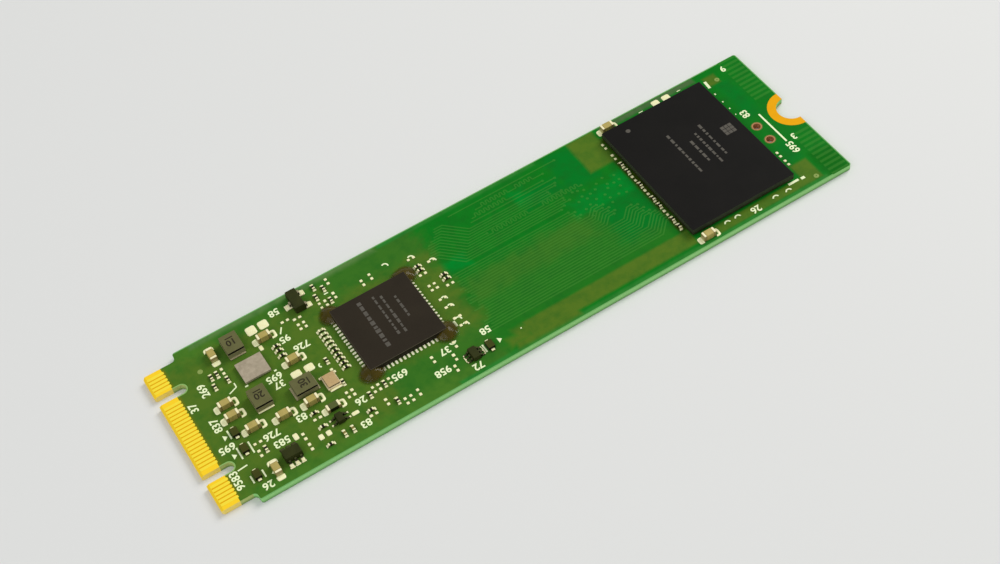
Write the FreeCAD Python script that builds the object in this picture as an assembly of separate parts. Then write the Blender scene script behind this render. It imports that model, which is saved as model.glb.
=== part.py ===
import FreeCAD, Part
import math
import os

Vector = FreeCAD.Vector

# A bare plug-in storage card. All sizes are in millimetres.
# X runs along the board, with the edge contacts at its low end and the mounting notch at its high end.
# Y runs across the board, and Z points up, away from the flat underside at zero.

# Board
board_length = 80.0
board_thickness = 0.8
shoulder_width = 1.075
shoulder_depth = 4.0
corner_radius = 0.3
shoulder_radius = 0.5
tip_bevel_run = 0.25
tip_bevel_rise = 0.2
copper_thickness = 0.04

# Edge contacts: odd pins are on top, even pins are below, and the pins of each key are left out
pin_count = 75
low_key_pins = (12, 19)
high_key_pins = (59, 66)
contact_pitch = 0.5
contact_width = 0.35
contact_length = 2.0
tongue_margin = 0.5
key_width = 1.2
key_depth = 3.5

# Mounting notch and the two small plated holes beside it
mount_radius = 1.75
mount_ring_width = 1.05
eyelet_hole_radius = 0.5
eyelet_land_width = 0.2
eyelet_wall = 0.05
eyelet_inset = 5.0
eyelet_spacing = 2.5

# Memory package, placed from the mounting end
memory_inset = 6.7
memory_length = 14.0
memory_width = 18.0
memory_mould_height = 0.6
memory_substrate_height = 0.25
memory_ball_height = 0.25
memory_ball_radius = 0.2
memory_ball_pitch = 1.0
memory_ball_margin = 2.9
ball_sides = 8

# Controller package, placed from the contact end by its near side
controller_inset = 20.75
controller_offset = 0.55
controller_side = 9.5
controller_height = 0.8
controller_standoff = 0.05
controller_lead_pitch = 0.5
controller_lead_width = 0.26
controller_lead_foot = 0.4
controller_lead_toe = 0.45
controller_toe_rise = 0.2
controller_toe_edge = 0.03
controller_corner_clear = 1.0
controller_pad_clear = 0.9
bond_radius = 1.1
bond_top_radius = 0.55
bond_height = 0.7
bond_offset = 0.1

# Power chip, a bare die on balls
die_length = 3.1
die_width = 2.8
die_height = 0.3
die_ball_height = 0.13
die_ball_radius = 0.13
die_ball_pitch = 0.5
die_ball_margin = 0.4
die_place = (10.55, 3.9)

# Power inductors
inductor_length = 2.5
inductor_width = 2.0
inductor_height = 1.05
inductor_foot_length = 0.5
inductor_foot_width = 1.9
inductor_foot_height = 0.1
inductor_foot_reach = 0.2
inductor_places = ((9.97, 7.75, "y"), (9.4, -0.25, "y"), (14.0, -1.6, "x"))

# Crystal
crystal_length = 1.6
crystal_width = 2.0
crystal_base_height = 0.3
crystal_lid_height = 0.2
crystal_lid_inset = 0.12
crystal_place = (16.75, -2.45)

# Larger two-ended chip parts: capacitors and one bead
chip_length = 1.6
chip_width = 0.8
chip_height = 0.85
chip_end = 0.32
bead_height = 0.6
bead_place = (15.4, -5.55, "x")
capacitor_places = (
    (7.55, 7.95, "y"),
    (5.98, 1.35, "x"),
    (5.98, -0.4, "x"),
    (7.2, -2.9, "x"),
    (10.57, -3.45, "x"),
    (13.85, -3.6, "x"),
    (14.65, 2.3, "x"),
    (13.35, 6.85, "x"),
    (6.92, -8.85, "y"),
)
memory_capacitor_step = 1.4    # from the memory package's near side to the capacitors beside its ends

# Smallest two-ended chip parts and their spare pad pairs
small_length = 0.62
small_width = 0.32
small_height = 0.28
small_end = 0.17
pad_pair_pitch = 0.66
pad_length = 0.34
pad_width = 0.32
part_clearance = 0.08
column_start = 3.5
column_pitch = 0.65
column_count = 10
memory_row_pitch = 1.26
memory_row_start = 4.4
memory_row_gap = 0.25
memory_row_spares = (2, 4, 7)
memory_row_count = 10
memory_row_extras = (5.95, 7.95)
memory_far_gap = 0.85
memory_far_pairs = (-5.0, -6.5)

# Small leaded packages: body length, width and height, leads on each long side, lead pitch
lead_thickness = 0.12
lead_shoulder = 0.22
lead_foot = 0.3
lead_standoff = 0.06
lead_pad_length = 0.25
lead_pad_margin = 0.12
transistor_size = (2.8, 1.3, 0.95)
transistor_lead_pitch = 0.95
transistor_lead_width = 0.45
transistor_inset = 1.95
transistor_step = 18.5
regulator_size = (2.0, 1.25, 0.85)
regulator_lead_pitch = 0.66
regulator_place = (9.12, -8.25)
gate_size = (1.25, 0.85, 0.55)
gate_lead_pitch = 0.65
gate_place = (15.28, -7.2)
monitor_size = (1.6, 0.95, 0.6)
monitor_lead_pitch = 0.5
monitor_step = 0.8
monitor_inset = 2.55
fine_lead_width = 0.26

# Diodes, with their ends along Y
diode_length = 1.05
diode_width = 0.8
diode_height = 0.5
diode_foot_length = 0.3
diode_foot_width = 0.42
diode_foot_height = 0.18
diode_places = ((5.3, -2.3), (5.25, -4.7), (4.95, -8.25))
edge_diode_step = 2.8
edge_diode_inset = 2.6

# Solder: wedge fillets at the chip ends and the height of tinned pads
fillet_run = 0.4
fillet_rise = 0.5
small_fillet_run = 0.2
small_fillet_rise = 0.16
pad_height = 0.05

# Small chip parts and pads near the contact end: distance from the contact edge, height across, direction
near_chips = (
    (6.25, 5.55, "y"),
    (6.95, 5.55, "y"),
    (6.05, 4.2, "y"),
    (7.65, 4.3, "y"),
    (7.15, -5.9, "y"),
    (13.35, -5.0, "x"),
    (13.35, -7.0, "x"),
    (13.95, 5.1, "x"),
    (13.95, 4.4, "x"),
    (13.95, 3.6, "x"),
    (13.0, -9.4, "x"),
    (14.85, -9.05, "y"),
    (15.85, -9.05, "y"),
    (18.5, -8.15, "x"),
    (17.6, 0.2, "y"),
    (17.75, -3.3, "y"),
    (19.35, -6.4, "y"),
)
near_pad_pairs = (
    (7.65, 5.6, "y"),
    (11.15, -6.9, "y"),
    (11.15, -8.4, "y"),
    (17.3, 5.95, "y"),
    (17.95, 5.95, "y"),
    (17.4, -5.0, "y"),
    (18.05, -5.0, "y"),
    (18.5, -8.75, "x"),
    (16.3, 7.6, "x"),
    (13.35, -5.75, "x"),
    (6.75, -4.75, "x"),
    (6.4, -6.05, "y"),
    (17.6, 7.15, "x"),
)
near_pads = (
    (12.62, 8.65, 1.05, 1.1),
    (14.1, 8.65, 0.95, 1.0),
    (14.1, 0.62, 1.05, 0.8),
    (15.65, 0.55, 1.0, 0.95),
    (12.5, 5.9, 0.45, 0.7),
    (10.4, -6.4, 0.5, 0.75),
    (16.98, -7.45, 0.75, 0.45),
    (12.6, -8.0, 0.55, 0.6),
    (13.5, -8.0, 0.55, 0.6),
    (17.5, -1.1, 0.35, 0.3),
)

# Small parts near the high long edge: distance from the contact edge, distance in from the long edge
edge_chips = ((21.0, 1.15),)
edge_pad_pairs = ((22.7, 1.27),)

# Pads beside the memory package: distance from its near side, length, width
memory_side_pads = ((8.4, 0.95, 0.9), (9.9, 0.95, 0.9))

# Small parts round the controller: distance along from its near side, distance out from its clear line
above_chips = ((-0.1, 1.35), (1.15, 2.0), (1.1, 0.05))
above_pad_pairs = ((0.5, 0.05), (1.75, 0.45), (5.15, 0.1), (6.3, 0.35), (-0.2, 0.05))
below_chips = ((0.55, 0.05), (0.65, 2.75))
below_pad_pairs = (
    (-0.75, 0.05),
    (-0.1, 0.05),
    (1.2, 0.05),
    (-0.35, 2.2),
    (1.4, 3.3),
    (2.1, 3.3),
    (3.05, 3.1),
    (6.35, 0.4),
    (8.45, 1.5),
    (7.85, 2.8),
    (9.3, 0.05),
)

# Small parts right of the controller: distance out from its clear line, height from its middle
right_chips = ((0.0, 4.95), (0.0, 4.3), (1.85, 2.25), (1.85, 1.6))
right_pad_pairs = (
    (0.0, 6.4),
    (0.0, 3.7),
    (1.75, 4.85),
    (0.05, 1.85),
    (0.05, 1.15),
    (1.8, 0.75),
    (0.1, -0.5),
    (0.1, -1.8),
    (0.1, -3.6),
    (0.2, -4.8),
)

# Values worked out from the sizes above
tongue_width = (pin_count - 1) * contact_pitch / 2 + contact_width + 2 * tongue_margin
board_width = tongue_width + 2 * shoulder_width
contact_edge = -board_length / 2
mount_edge = board_length / 2
half_width = board_width / 2
half_tongue = tongue_width / 2
board_top = board_thickness
copper_top = board_thickness - copper_thickness
mount_ring_radius = mount_radius + mount_ring_width
eyelet_places = [(mount_edge - eyelet_inset, y) for y in (0, -eyelet_spacing)]
memory_far = mount_edge - memory_inset
memory_near = memory_far - memory_length
memory_middle = memory_near + memory_length / 2
beside_memory = (half_width + memory_width / 2) / 2
controller_near = contact_edge + controller_inset
controller_far = controller_near + controller_side
controller_middle = controller_near + controller_side / 2
controller_low = controller_offset - controller_side / 2
controller_high = controller_offset + controller_side / 2
pad_pair_reach = (pad_pair_pitch + pad_length) / 2
clear_line = bond_offset + bond_radius + part_clearance + pad_pair_reach

solder_fillets = []
tinned_pads = []
small_bodies = []
small_ends = []


# Basic shapes
def block(x, y, z, length, width, height):
    return Part.makeBox(length, width, height, Vector(x - length / 2, y - width / 2, z))


def post(x, y, z, radius, height):
    return Part.makeCylinder(radius, height, Vector(x, y, z))


def ring(x, y, z, outer, inner, height):
    return post(x, y, z, outer, height).cut(post(x, y, z, inner, height))


def prism(points, direction):
    return Part.Face(Part.makePolygon(points + points[:1])).extrude(direction)


def on_board(solid, x, y, turn=0):
    solid.rotate(Vector(0, 0, 0), Vector(0, 0, 1), turn)
    solid.translate(Vector(x, y, board_top))
    return solid


def turn_of(direction):
    return 90 if direction == "y" else 0


def from_contact_edge(place):
    return (contact_edge + place[0],) + tuple(place[1:])


def ball(x, y, radius, height):
    turns = [2 * math.pi * (side + 0.5) / ball_sides for side in range(ball_sides)]
    points = [Vector(x + radius * math.cos(turn), y + radius * math.sin(turn), 0) for turn in turns]
    return prism(points, Vector(0, 0, height))


def ball_grid(area, pitch, radius, height):
    columns, rows = [math.floor(side / pitch) + 1 for side in area]
    balls = []
    for column in range(columns):
        for row in range(rows):
            x = (column - (columns - 1) / 2) * pitch
            y = (row - (rows - 1) / 2) * pitch
            balls.append(ball(x, y, radius, height))
    return balls


def save(name, solids):
    shape = solids[0] if len(solids) == 1 else Part.makeCompound(solids)
    shape.exportStep(os.path.join("parts", name + ".step"))


# Board with its contacts, rings and eyelets
def pin_height(pin):
    return (pin - (pin_count + 1) / 2) * contact_pitch / 2


def key_height(pins):
    return (pin_height(pins[0]) + pin_height(pins[1])) / 2


def in_key(pin):
    return any(first <= pin <= last for first, last in (low_key_pins, high_key_pins))


def contact_row(first_pin, z):
    x = contact_edge + tip_bevel_run + contact_length / 2
    pins = [pin for pin in range(first_pin, pin_count + 1, 2) if not in_key(pin)]
    return [block(x, pin_height(pin), z, contact_length, contact_width, copper_thickness) for pin in pins]


def mount_rings():
    keep = block(mount_edge - board_length / 2, 0, 0, board_length, board_width, board_thickness)
    rings = []
    for z in (0, copper_top):
        whole = ring(mount_edge, 0, z, mount_ring_radius, mount_radius, copper_thickness)
        rings.append(whole.common(keep))
    return rings


def eyelet(x, y):
    bore = eyelet_hole_radius - eyelet_wall
    land = eyelet_hole_radius + eyelet_land_width
    tube = ring(x, y, 0, eyelet_hole_radius, bore, board_thickness)
    lands = [ring(x, y, z, land, bore, copper_thickness) for z in (0, copper_top)]
    return tube.fuse(lands).removeSplitter()


def key_slot(pins):
    y = key_height(pins)
    straight = key_depth - key_width / 2
    opening = block(contact_edge + straight / 2, y, 0, straight, key_width, board_thickness)
    return opening.fuse(post(contact_edge + straight, y, 0, key_width / 2, board_thickness))


def tip_bevel(z, rise):
    points = [
        Vector(contact_edge, -half_width, z),
        Vector(contact_edge + tip_bevel_run, -half_width, z),
        Vector(contact_edge, -half_width, z + rise),
    ]
    return prism(points, Vector(0, board_width, 0))


def round_upright_edges(solid, corners, radius):
    chosen = []
    for edge in solid.Edges:
        start, end = edge.Vertexes[0].Point, edge.Vertexes[-1].Point
        for x, y in corners:
            if all(math.hypot(point.x - x, point.y - y) < 1e-6 for point in (start, end)):
                chosen.append(edge)
    return solid.makeFillet(radius, chosen)


def bare_board():
    shoulder = contact_edge + shoulder_depth
    outline = [
        Vector(contact_edge, -half_tongue, 0),
        Vector(shoulder, -half_tongue, 0),
        Vector(shoulder, -half_width, 0),
        Vector(mount_edge, -half_width, 0),
        Vector(mount_edge, half_width, 0),
        Vector(shoulder, half_width, 0),
        Vector(shoulder, half_tongue, 0),
        Vector(contact_edge, half_tongue, 0),
    ]
    solid = prism(outline, Vector(0, 0, board_thickness))
    outer = [(x, side * half_width) for x in (shoulder, mount_edge) for side in (-1, 1)]
    outer += [(contact_edge, side * half_tongue) for side in (-1, 1)]
    inner = [(shoulder, side * half_tongue) for side in (-1, 1)]
    solid = round_upright_edges(solid, outer, corner_radius)
    return round_upright_edges(solid, inner, shoulder_radius)


def make_board():
    top_contacts = contact_row(1, copper_top)
    bottom_contacts = contact_row(2, 0)
    rings = mount_rings()
    eyelets = [eyelet(x, y) for x, y in eyelet_places]
    cuts = [key_slot(low_key_pins), key_slot(high_key_pins)]
    cuts += [tip_bevel(0, tip_bevel_rise), tip_bevel(board_top, -tip_bevel_rise)]
    cuts.append(post(mount_edge, 0, 0, mount_radius, board_thickness))
    cuts += [post(x, y, 0, eyelet_hole_radius, board_thickness) for x, y in eyelet_places]
    board = bare_board().cut(cuts)
    board = board.cut(top_contacts + bottom_contacts + rings + eyelets)
    save("board", [board])
    save("top_edge_contacts", top_contacts)
    save("bottom_edge_contacts", bottom_contacts)
    save("mount_ground_rings", rings)
    save("jumper_eyelets", eyelets)


# Memory package
def make_memory():
    substrate_base = memory_ball_height
    mould_base = substrate_base + memory_substrate_height
    substrate = block(0, 0, substrate_base, memory_length, memory_width, memory_substrate_height)
    mould = block(0, 0, mould_base, memory_length, memory_width, memory_mould_height)
    area = (memory_length - 2 * memory_ball_margin, memory_width - 2 * memory_ball_margin)
    balls = ball_grid(area, memory_ball_pitch, memory_ball_radius, memory_ball_height)
    save("memory_mould", [on_board(mould, memory_middle, 0)])
    save("memory_substrate", [on_board(substrate, memory_middle, 0)])
    save("memory_balls", [on_board(ball, memory_middle, 0) for ball in balls])


# Controller package
def controller_lead(along):
    face = controller_side / 2
    low = along - controller_lead_width / 2
    profile = [
        (face - controller_lead_foot, 0),
        (face + controller_lead_toe, 0),
        (face + controller_lead_toe, controller_toe_edge),
        (face, controller_standoff + controller_toe_rise),
        (face, controller_standoff),
        (face - controller_lead_foot, controller_standoff),
    ]
    return prism([Vector(out, low, z) for out, z in profile], Vector(0, controller_lead_width, 0))


def controller_leads():
    span = controller_side - 2 * controller_corner_clear
    count = math.floor(span / controller_lead_pitch + 1e-6) + 1
    leads = []
    for turn in (0, 90, 180, 270):
        for index in range(count):
            along = (index - (count - 1) / 2) * controller_lead_pitch
            leads.append(on_board(controller_lead(along), 0, 0, turn))
    for lead in leads:
        lead.translate(Vector(controller_middle, controller_offset, 0))
    return leads


def corner_bond(x_side, y_side, package):
    reach = controller_side / 2 + bond_offset
    x = controller_middle + x_side * reach
    y = controller_offset + y_side * reach
    drop = Part.makeCone(bond_radius, bond_top_radius, bond_height, Vector(x, y, board_top))
    pieces = drop.cut(package).Solids
    return max(pieces, key=lambda piece: piece.Volume)


def make_controller():
    body = block(0, 0, controller_standoff, controller_side, controller_side, controller_height)
    pad_side = controller_side - 2 * (controller_lead_foot + controller_pad_clear)
    pad = block(0, 0, 0, pad_side, pad_side, controller_standoff)
    body = on_board(body, controller_middle, controller_offset)
    pad = on_board(pad, controller_middle, controller_offset)
    leads = controller_leads()
    under_body = block(0, 0, 0, controller_side, controller_side, controller_standoff)
    package = [body, on_board(under_body, controller_middle, controller_offset)] + leads
    bonds = [corner_bond(x_side, y_side, package) for x_side in (-1, 1) for y_side in (-1, 1)]
    save("controller_body", [body])
    save("controller_lead_frame", leads + [pad])
    save("controller_corner_bonds", bonds)


# Power chip
def make_power_chip():
    x, y = from_contact_edge(die_place)
    die = block(0, 0, die_ball_height, die_length, die_width, die_height)
    area = (die_length - 2 * die_ball_margin, die_width - 2 * die_ball_margin)
    balls = ball_grid(area, die_ball_pitch, die_ball_radius, die_ball_height)
    save("power_chip_die", [on_board(die, x, y)])
    save("power_chip_balls", [on_board(ball, x, y) for ball in balls])


# Inductors: a moulded core that stands on two metal feet
def make_inductor(number, place):
    x, y, direction = from_contact_edge(place)
    turn = turn_of(direction)
    core = block(0, 0, inductor_foot_height, inductor_length, inductor_width, inductor_height)
    foot_middle = inductor_length / 2 + inductor_foot_reach - inductor_foot_length / 2
    feet = [
        block(side * foot_middle, 0, 0, inductor_foot_length, inductor_foot_width, inductor_foot_height)
        for side in (-1, 1)
    ]
    save(f"inductor_{number}_core", [on_board(core, x, y, turn)])
    save(f"inductor_{number}_feet", [on_board(foot, x, y, turn) for foot in feet])


# Crystal
def make_crystal():
    x, y = from_contact_edge(crystal_place)
    base = block(0, 0, 0, crystal_length, crystal_width, crystal_base_height)
    lid_length = crystal_length - 2 * crystal_lid_inset
    lid_width = crystal_width - 2 * crystal_lid_inset
    lid = block(0, 0, crystal_base_height, lid_length, lid_width, crystal_lid_height)
    save("crystal_base", [on_board(base, x, y)])
    save("crystal_lid", [on_board(lid, x, y)])


# Two-ended chip parts with a wedge of solder at each end
def wedge(side, length, width, run, rise):
    face = side * length / 2
    points = [
        Vector(face, -width / 2, 0),
        Vector(face + side * run, -width / 2, 0),
        Vector(face, -width / 2, rise),
    ]
    return prism(points, Vector(0, width, 0))


def chip(place, length, width, height, end, run, rise):
    x, y, direction = place
    turn = turn_of(direction)
    body = block(0, 0, 0, length - 2 * end, width, height)
    ends = [block(side * (length - end) / 2, 0, 0, end, width, height) for side in (-1, 1)]
    for side in (-1, 1):
        solder_fillets.append(on_board(wedge(side, length, width, run, rise), x, y, turn))
    return on_board(body, x, y, turn), [on_board(one, x, y, turn) for one in ends]


def large_chip(name, place, height):
    body, ends = chip(place, chip_length, chip_width, height, chip_end, fillet_run, fillet_rise)
    save(name + "_body", [body])
    save(name + "_ends", ends)


def make_capacitors():
    places = [from_contact_edge(place) for place in capacitor_places]
    places += [(memory_near + memory_capacitor_step, side * beside_memory, "x") for side in (-1, 1)]
    for number, place in enumerate(places, 1):
        large_chip(f"capacitor_{number}", place, chip_height)
    large_chip("bead", from_contact_edge(bead_place), bead_height)


def small_chip(x, y, direction):
    place = (x, y, direction)
    sizes = (small_length, small_width, small_height, small_end, small_fillet_run, small_fillet_rise)
    body, ends = chip(place, *sizes)
    small_bodies.append(body)
    small_ends.extend(ends)


def pad(x, y, length, width):
    tinned_pads.append(on_board(block(0, 0, 0, length, width, pad_height), x, y))


def pad_pair(x, y, direction):
    for side in (-1, 1):
        one = block(side * pad_pair_pitch / 2, 0, 0, pad_length, pad_width, pad_height)
        tinned_pads.append(on_board(one, x, y, turn_of(direction)))


# Small parts of each neighbourhood
def make_near_parts():
    for place in near_chips:
        small_chip(*from_contact_edge(place))
    for place in near_pad_pairs:
        pad_pair(*from_contact_edge(place))
    for place in near_pads:
        pad(*from_contact_edge(place))
    for step, inset in edge_chips:
        small_chip(contact_edge + step, half_width - inset, "y")
    for step, inset in edge_pad_pairs:
        pad_pair(contact_edge + step, half_width - inset, "y")


def make_controller_parts():
    column = controller_near - clear_line
    for index in range(column_count):
        small_chip(column, controller_offset + column_start - index * column_pitch, "x")
    for along, out in above_chips:
        small_chip(controller_near + along, controller_high + clear_line + out, "y")
    for along, out in above_pad_pairs:
        pad_pair(controller_near + along, controller_high + clear_line + out, "y")
    for along, out in below_chips:
        small_chip(controller_near + along, controller_low - clear_line - out, "y")
    for along, out in below_pad_pairs:
        pad_pair(controller_near + along, controller_low - clear_line - out, "y")
    for out, up in right_chips:
        small_chip(controller_far + clear_line + out, controller_offset + up, "x")
    for out, up in right_pad_pairs:
        pad_pair(controller_far + clear_line + out, controller_offset + up, "x")


def make_memory_parts():
    row = memory_near - memory_row_gap - pad_width / 2
    for index in range(memory_row_count):
        place_part = pad_pair if index in memory_row_spares else small_chip
        place_part(row, memory_row_start - index * memory_row_pitch, "y")
    for y in memory_row_extras:
        pad_pair(row, y, "y")
    for y in memory_far_pairs:
        pad_pair(memory_far + memory_far_gap + pad_width / 2, y, "y")
    for step, length, width in memory_side_pads:
        pad(memory_near + step, beside_memory, length, width)


# Leaded packages: bent leads that hold the body clear of the board
def bent_lead(face, along, width, rise):
    profile = [
        (face, rise),
        (face, rise + lead_thickness),
        (face + lead_shoulder, rise + lead_thickness),
        (face + lead_shoulder, lead_thickness),
        (face + lead_shoulder + lead_foot, lead_thickness),
        (face + lead_shoulder + lead_foot, 0),
        (face + lead_shoulder - lead_thickness, 0),
        (face + lead_shoulder - lead_thickness, rise),
    ]
    low = along - width / 2
    return prism([Vector(low, out, z) for out, z in profile], Vector(width, 0, 0))


def leaded_package(name, place, size, turn, lead_width, front_leads, back_leads):
    x, y = place
    length, width, height = size
    body = block(0, 0, lead_standoff, length, width, height)
    rise = lead_standoff + (height - lead_thickness) / 2
    toe = width / 2 + lead_shoulder + lead_foot
    land_width = lead_width + 2 * lead_pad_margin
    leads = []
    for side, rows in ((0, back_leads), (180, front_leads)):
        for along in rows:
            lead = bent_lead(width / 2, along, lead_width, rise)
            land = block(along, toe + lead_pad_length / 2, 0, land_width, lead_pad_length, pad_height)
            for solid in (lead, land):
                solid.rotate(Vector(0, 0, 0), Vector(0, 0, 1), side)
            leads.append(lead)
            tinned_pads.append(on_board(land, x, y, turn))
    save(name + "_body", [on_board(body, x, y, turn)])
    save(name + "_leads", [on_board(lead, x, y, turn) for lead in leads])


def make_leaded_packages():
    pair = (-transistor_lead_pitch, transistor_lead_pitch)
    place = (contact_edge + transistor_step, half_width - transistor_inset)
    leaded_package("transistor", place, transistor_size, 90, transistor_lead_width, pair, (0,))
    three = [step * regulator_lead_pitch for step in (-1, 0, 1)]
    place = from_contact_edge(regulator_place)
    leaded_package("regulator", place, regulator_size, 0, fine_lead_width, three, three)
    two = (-gate_lead_pitch / 2, gate_lead_pitch / 2)
    leaded_package("gate_chip", from_contact_edge(gate_place), gate_size, 90, fine_lead_width, two, two)
    three = [step * monitor_lead_pitch for step in (-1, 0, 1)]
    place = (controller_far + monitor_step, monitor_inset - half_width)
    leaded_package("monitor_chip", place, monitor_size, 90, fine_lead_width, three, three)


# Diodes
def make_diodes():
    places = [from_contact_edge(place) for place in diode_places]
    places.append((controller_far + edge_diode_step, edge_diode_inset - half_width))
    bodies = []
    feet = []
    for x, y in places:
        bodies.append(on_board(block(0, 0, 0, diode_length, diode_width, diode_height), x, y, 90))
        for side in (-1, 1):
            middle = side * (diode_length + diode_foot_length) / 2
            foot = block(middle, 0, 0, diode_foot_length, diode_foot_width, diode_foot_height)
            feet.append(on_board(foot, x, y, 90))
    save("diode_bodies", bodies)
    save("diode_feet", feet)


os.makedirs("parts", exist_ok=True)
make_board()
make_memory()
make_controller()
make_power_chip()
for number, place in enumerate(inductor_places, 1):
    make_inductor(number, place)
make_crystal()
make_capacitors()
make_near_parts()
make_controller_parts()
make_memory_parts()
make_leaded_packages()
make_diodes()
save("small_chip_bodies", small_bodies)
save("small_chip_ends", small_ends)
save("solder_fillets", solder_fillets)
save("tinned_pads", tinned_pads)
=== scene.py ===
import math
import random

import bmesh
import bpy
from mathutils import Matrix, Vector


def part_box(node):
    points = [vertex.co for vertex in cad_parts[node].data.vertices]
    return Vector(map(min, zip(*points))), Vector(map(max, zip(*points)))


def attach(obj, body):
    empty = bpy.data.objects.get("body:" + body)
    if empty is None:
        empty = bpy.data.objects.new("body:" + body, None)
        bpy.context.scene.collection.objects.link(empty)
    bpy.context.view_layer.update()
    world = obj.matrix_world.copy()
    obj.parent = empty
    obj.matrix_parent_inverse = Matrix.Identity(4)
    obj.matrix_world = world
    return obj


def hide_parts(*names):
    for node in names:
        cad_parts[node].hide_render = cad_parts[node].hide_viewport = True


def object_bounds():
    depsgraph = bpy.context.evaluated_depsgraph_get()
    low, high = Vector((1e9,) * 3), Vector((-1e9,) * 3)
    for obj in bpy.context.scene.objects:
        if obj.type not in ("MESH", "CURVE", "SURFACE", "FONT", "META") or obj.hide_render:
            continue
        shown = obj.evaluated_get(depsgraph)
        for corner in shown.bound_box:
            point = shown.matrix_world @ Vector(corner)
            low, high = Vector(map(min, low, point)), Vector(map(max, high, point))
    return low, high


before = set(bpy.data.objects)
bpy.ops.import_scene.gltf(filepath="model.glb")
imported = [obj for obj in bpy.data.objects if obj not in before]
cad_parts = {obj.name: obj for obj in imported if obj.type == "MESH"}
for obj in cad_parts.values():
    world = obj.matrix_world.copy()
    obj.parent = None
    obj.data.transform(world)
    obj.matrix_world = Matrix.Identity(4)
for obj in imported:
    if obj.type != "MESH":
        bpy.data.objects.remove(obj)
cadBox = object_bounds()
scene = bpy.context.scene
mm = 0.001  # all sizes below are in millimetres, the meshes in metres
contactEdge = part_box("board")[0].x / mm
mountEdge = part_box("board")[1].x / mm
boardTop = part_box("board")[1].z / mm
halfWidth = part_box("board")[1].y / mm
print("frame loaded:", len(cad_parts), "nodes")


# Small tools

def paint(red, green, blue):  # a screen colour, 0 to 255, as linear light
    def linear(value):
        share = value / 255
        return share / 12.92 if share <= 0.04045 else ((share + 0.055) / 1.055) ** 2.4
    return (linear(red), linear(green), linear(blue), 1.0)


def place(x, y, z=0.0):  # x from the contact edge, z from the board's face
    return Vector((contactEdge + x, y, boardTop + z))


def boxOf(node):
    low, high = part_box(node)
    return low / mm, high / mm


def isInside(point, low, high):  # seen from above
    return low.x < point.x < high.x and low.y < point.y < high.y


def newObject(name, data):
    item = bpy.data.objects.new(name, data)
    scene.collection.objects.link(item)
    return item


def meshOf(bm, name):
    bmesh.ops.recalc_face_normals(bm, faces=bm.faces)
    mesh = bpy.data.meshes.new(name)
    bm.to_mesh(mesh)
    bm.free()
    mesh.transform(Matrix.Scale(mm, 4))
    return mesh


def bakedMesh(source):  # a plain mesh of what the object's modifiers make, with the object removed
    depsgraph = bpy.context.evaluated_depsgraph_get()
    mesh = bpy.data.meshes.new_from_object(source.evaluated_get(depsgraph), depsgraph=depsgraph)
    source.modifiers.clear()
    bpy.data.objects.remove(source)
    return mesh


def cleaned(mesh):  # drops faces of no area and turns the others outward
    bm = bmesh.new()
    bm.from_mesh(mesh)
    bmesh.ops.dissolve_degenerate(bm, dist=2e-7, edges=bm.edges)
    bmesh.ops.recalc_face_normals(bm, faces=bm.faces)
    bm.to_mesh(mesh)
    bm.free()
    return mesh


def addPiece(name, mesh, finish, replaced=(), roundness=0.0, segments=2, smoothAngle=40):
    mesh.materials.clear()
    mesh.materials.append(finishes[finish])
    mesh.shade_smooth()
    mesh.set_sharp_from_angle(angle=math.radians(smoothAngle))
    piece = newObject(name, mesh)
    if roundness:
        bevel = piece.modifiers.new("roundedEdges", "BEVEL")
        bevel.width = roundness * mm
        bevel.segments = segments
        bevel.limit_method = "ANGLE"
        bevel.angle_limit = math.radians(30)
        bevel.harden_normals = True
    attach(piece, "root")
    if replaced:
        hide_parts(*replaced)


def mergedCopy(node):  # a CAD node's solids, in millimetres, with flat faces made whole
    bm = bmesh.new()
    bm.from_mesh(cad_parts[node].data)
    bmesh.ops.transform(bm, matrix=Matrix.Scale(1 / mm, 4), verts=bm.verts)
    bmesh.ops.remove_doubles(bm, verts=bm.verts, dist=1e-4)
    bmesh.ops.dissolve_limit(bm, angle_limit=0.01, verts=bm.verts, edges=bm.edges)
    return bm


def solidsOf(node):  # each solid's box, and which way its top leans from its middle
    bm = mergedCopy(node)
    seen = set()
    solids = []
    for first in bm.verts:
        if first in seen:
            continue
        seen.add(first)
        group = [first]
        for vert in group:  # grows while neighbours are found
            for edge in vert.link_edges:
                other = edge.other_vert(vert)
                if other not in seen:
                    seen.add(other)
                    group.append(other)
        points = [vert.co.copy() for vert in group]
        low = Vector([min(along) for along in zip(*points)])
        high = Vector([max(along) for along in zip(*points)])
        middle = (low + high) / 2
        tops = [point for point in points if point.z > high.z - 1e-3]
        lean = sum(tops, Vector()) / len(tops) - middle
        solids.append({"low": low, "high": high, "middle": middle, "size": high - low, "lean": lean})
    bm.free()
    return solids


def softened(node, finish, roundness, segments=2, draft=0.0):  # stands for the CAD node, with rounded edges
    bm = mergedCopy(node)
    low, high = boxOf(node)
    middle = (low + high) / 2
    if draft:  # the mould's sides lean in above the parting line
        for vert in bm.verts:
            if vert.co.z > middle.z:
                vert.co.x -= math.copysign(draft, vert.co.x - middle.x)
                vert.co.y -= math.copysign(draft, vert.co.y - middle.y)
    addPiece(node + "_soft", meshOf(bm, node + "_soft"), finish, [node], roundness, segments)


def addBlock(bm, middle, size):
    matrix = Matrix.Translation(middle) @ Matrix.Diagonal((*size, 1.0))
    return bmesh.ops.create_cube(bm, size=1.0, matrix=matrix)["verts"]


def addFlat(bm, outline, sink, height):  # a flat shape on the board, closed all round
    face = bm.faces.new([bm.verts.new((point.x, point.y, boardTop - sink)) for point in outline])
    top = bmesh.ops.extrude_face_region(bm, geom=[face])["geom"]
    verts = [item for item in top if isinstance(item, bmesh.types.BMVert)]
    bmesh.ops.translate(bm, vec=(0, 0, height + sink), verts=verts)


# Node helpers: a value given as a socket is linked, any other is set

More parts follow.
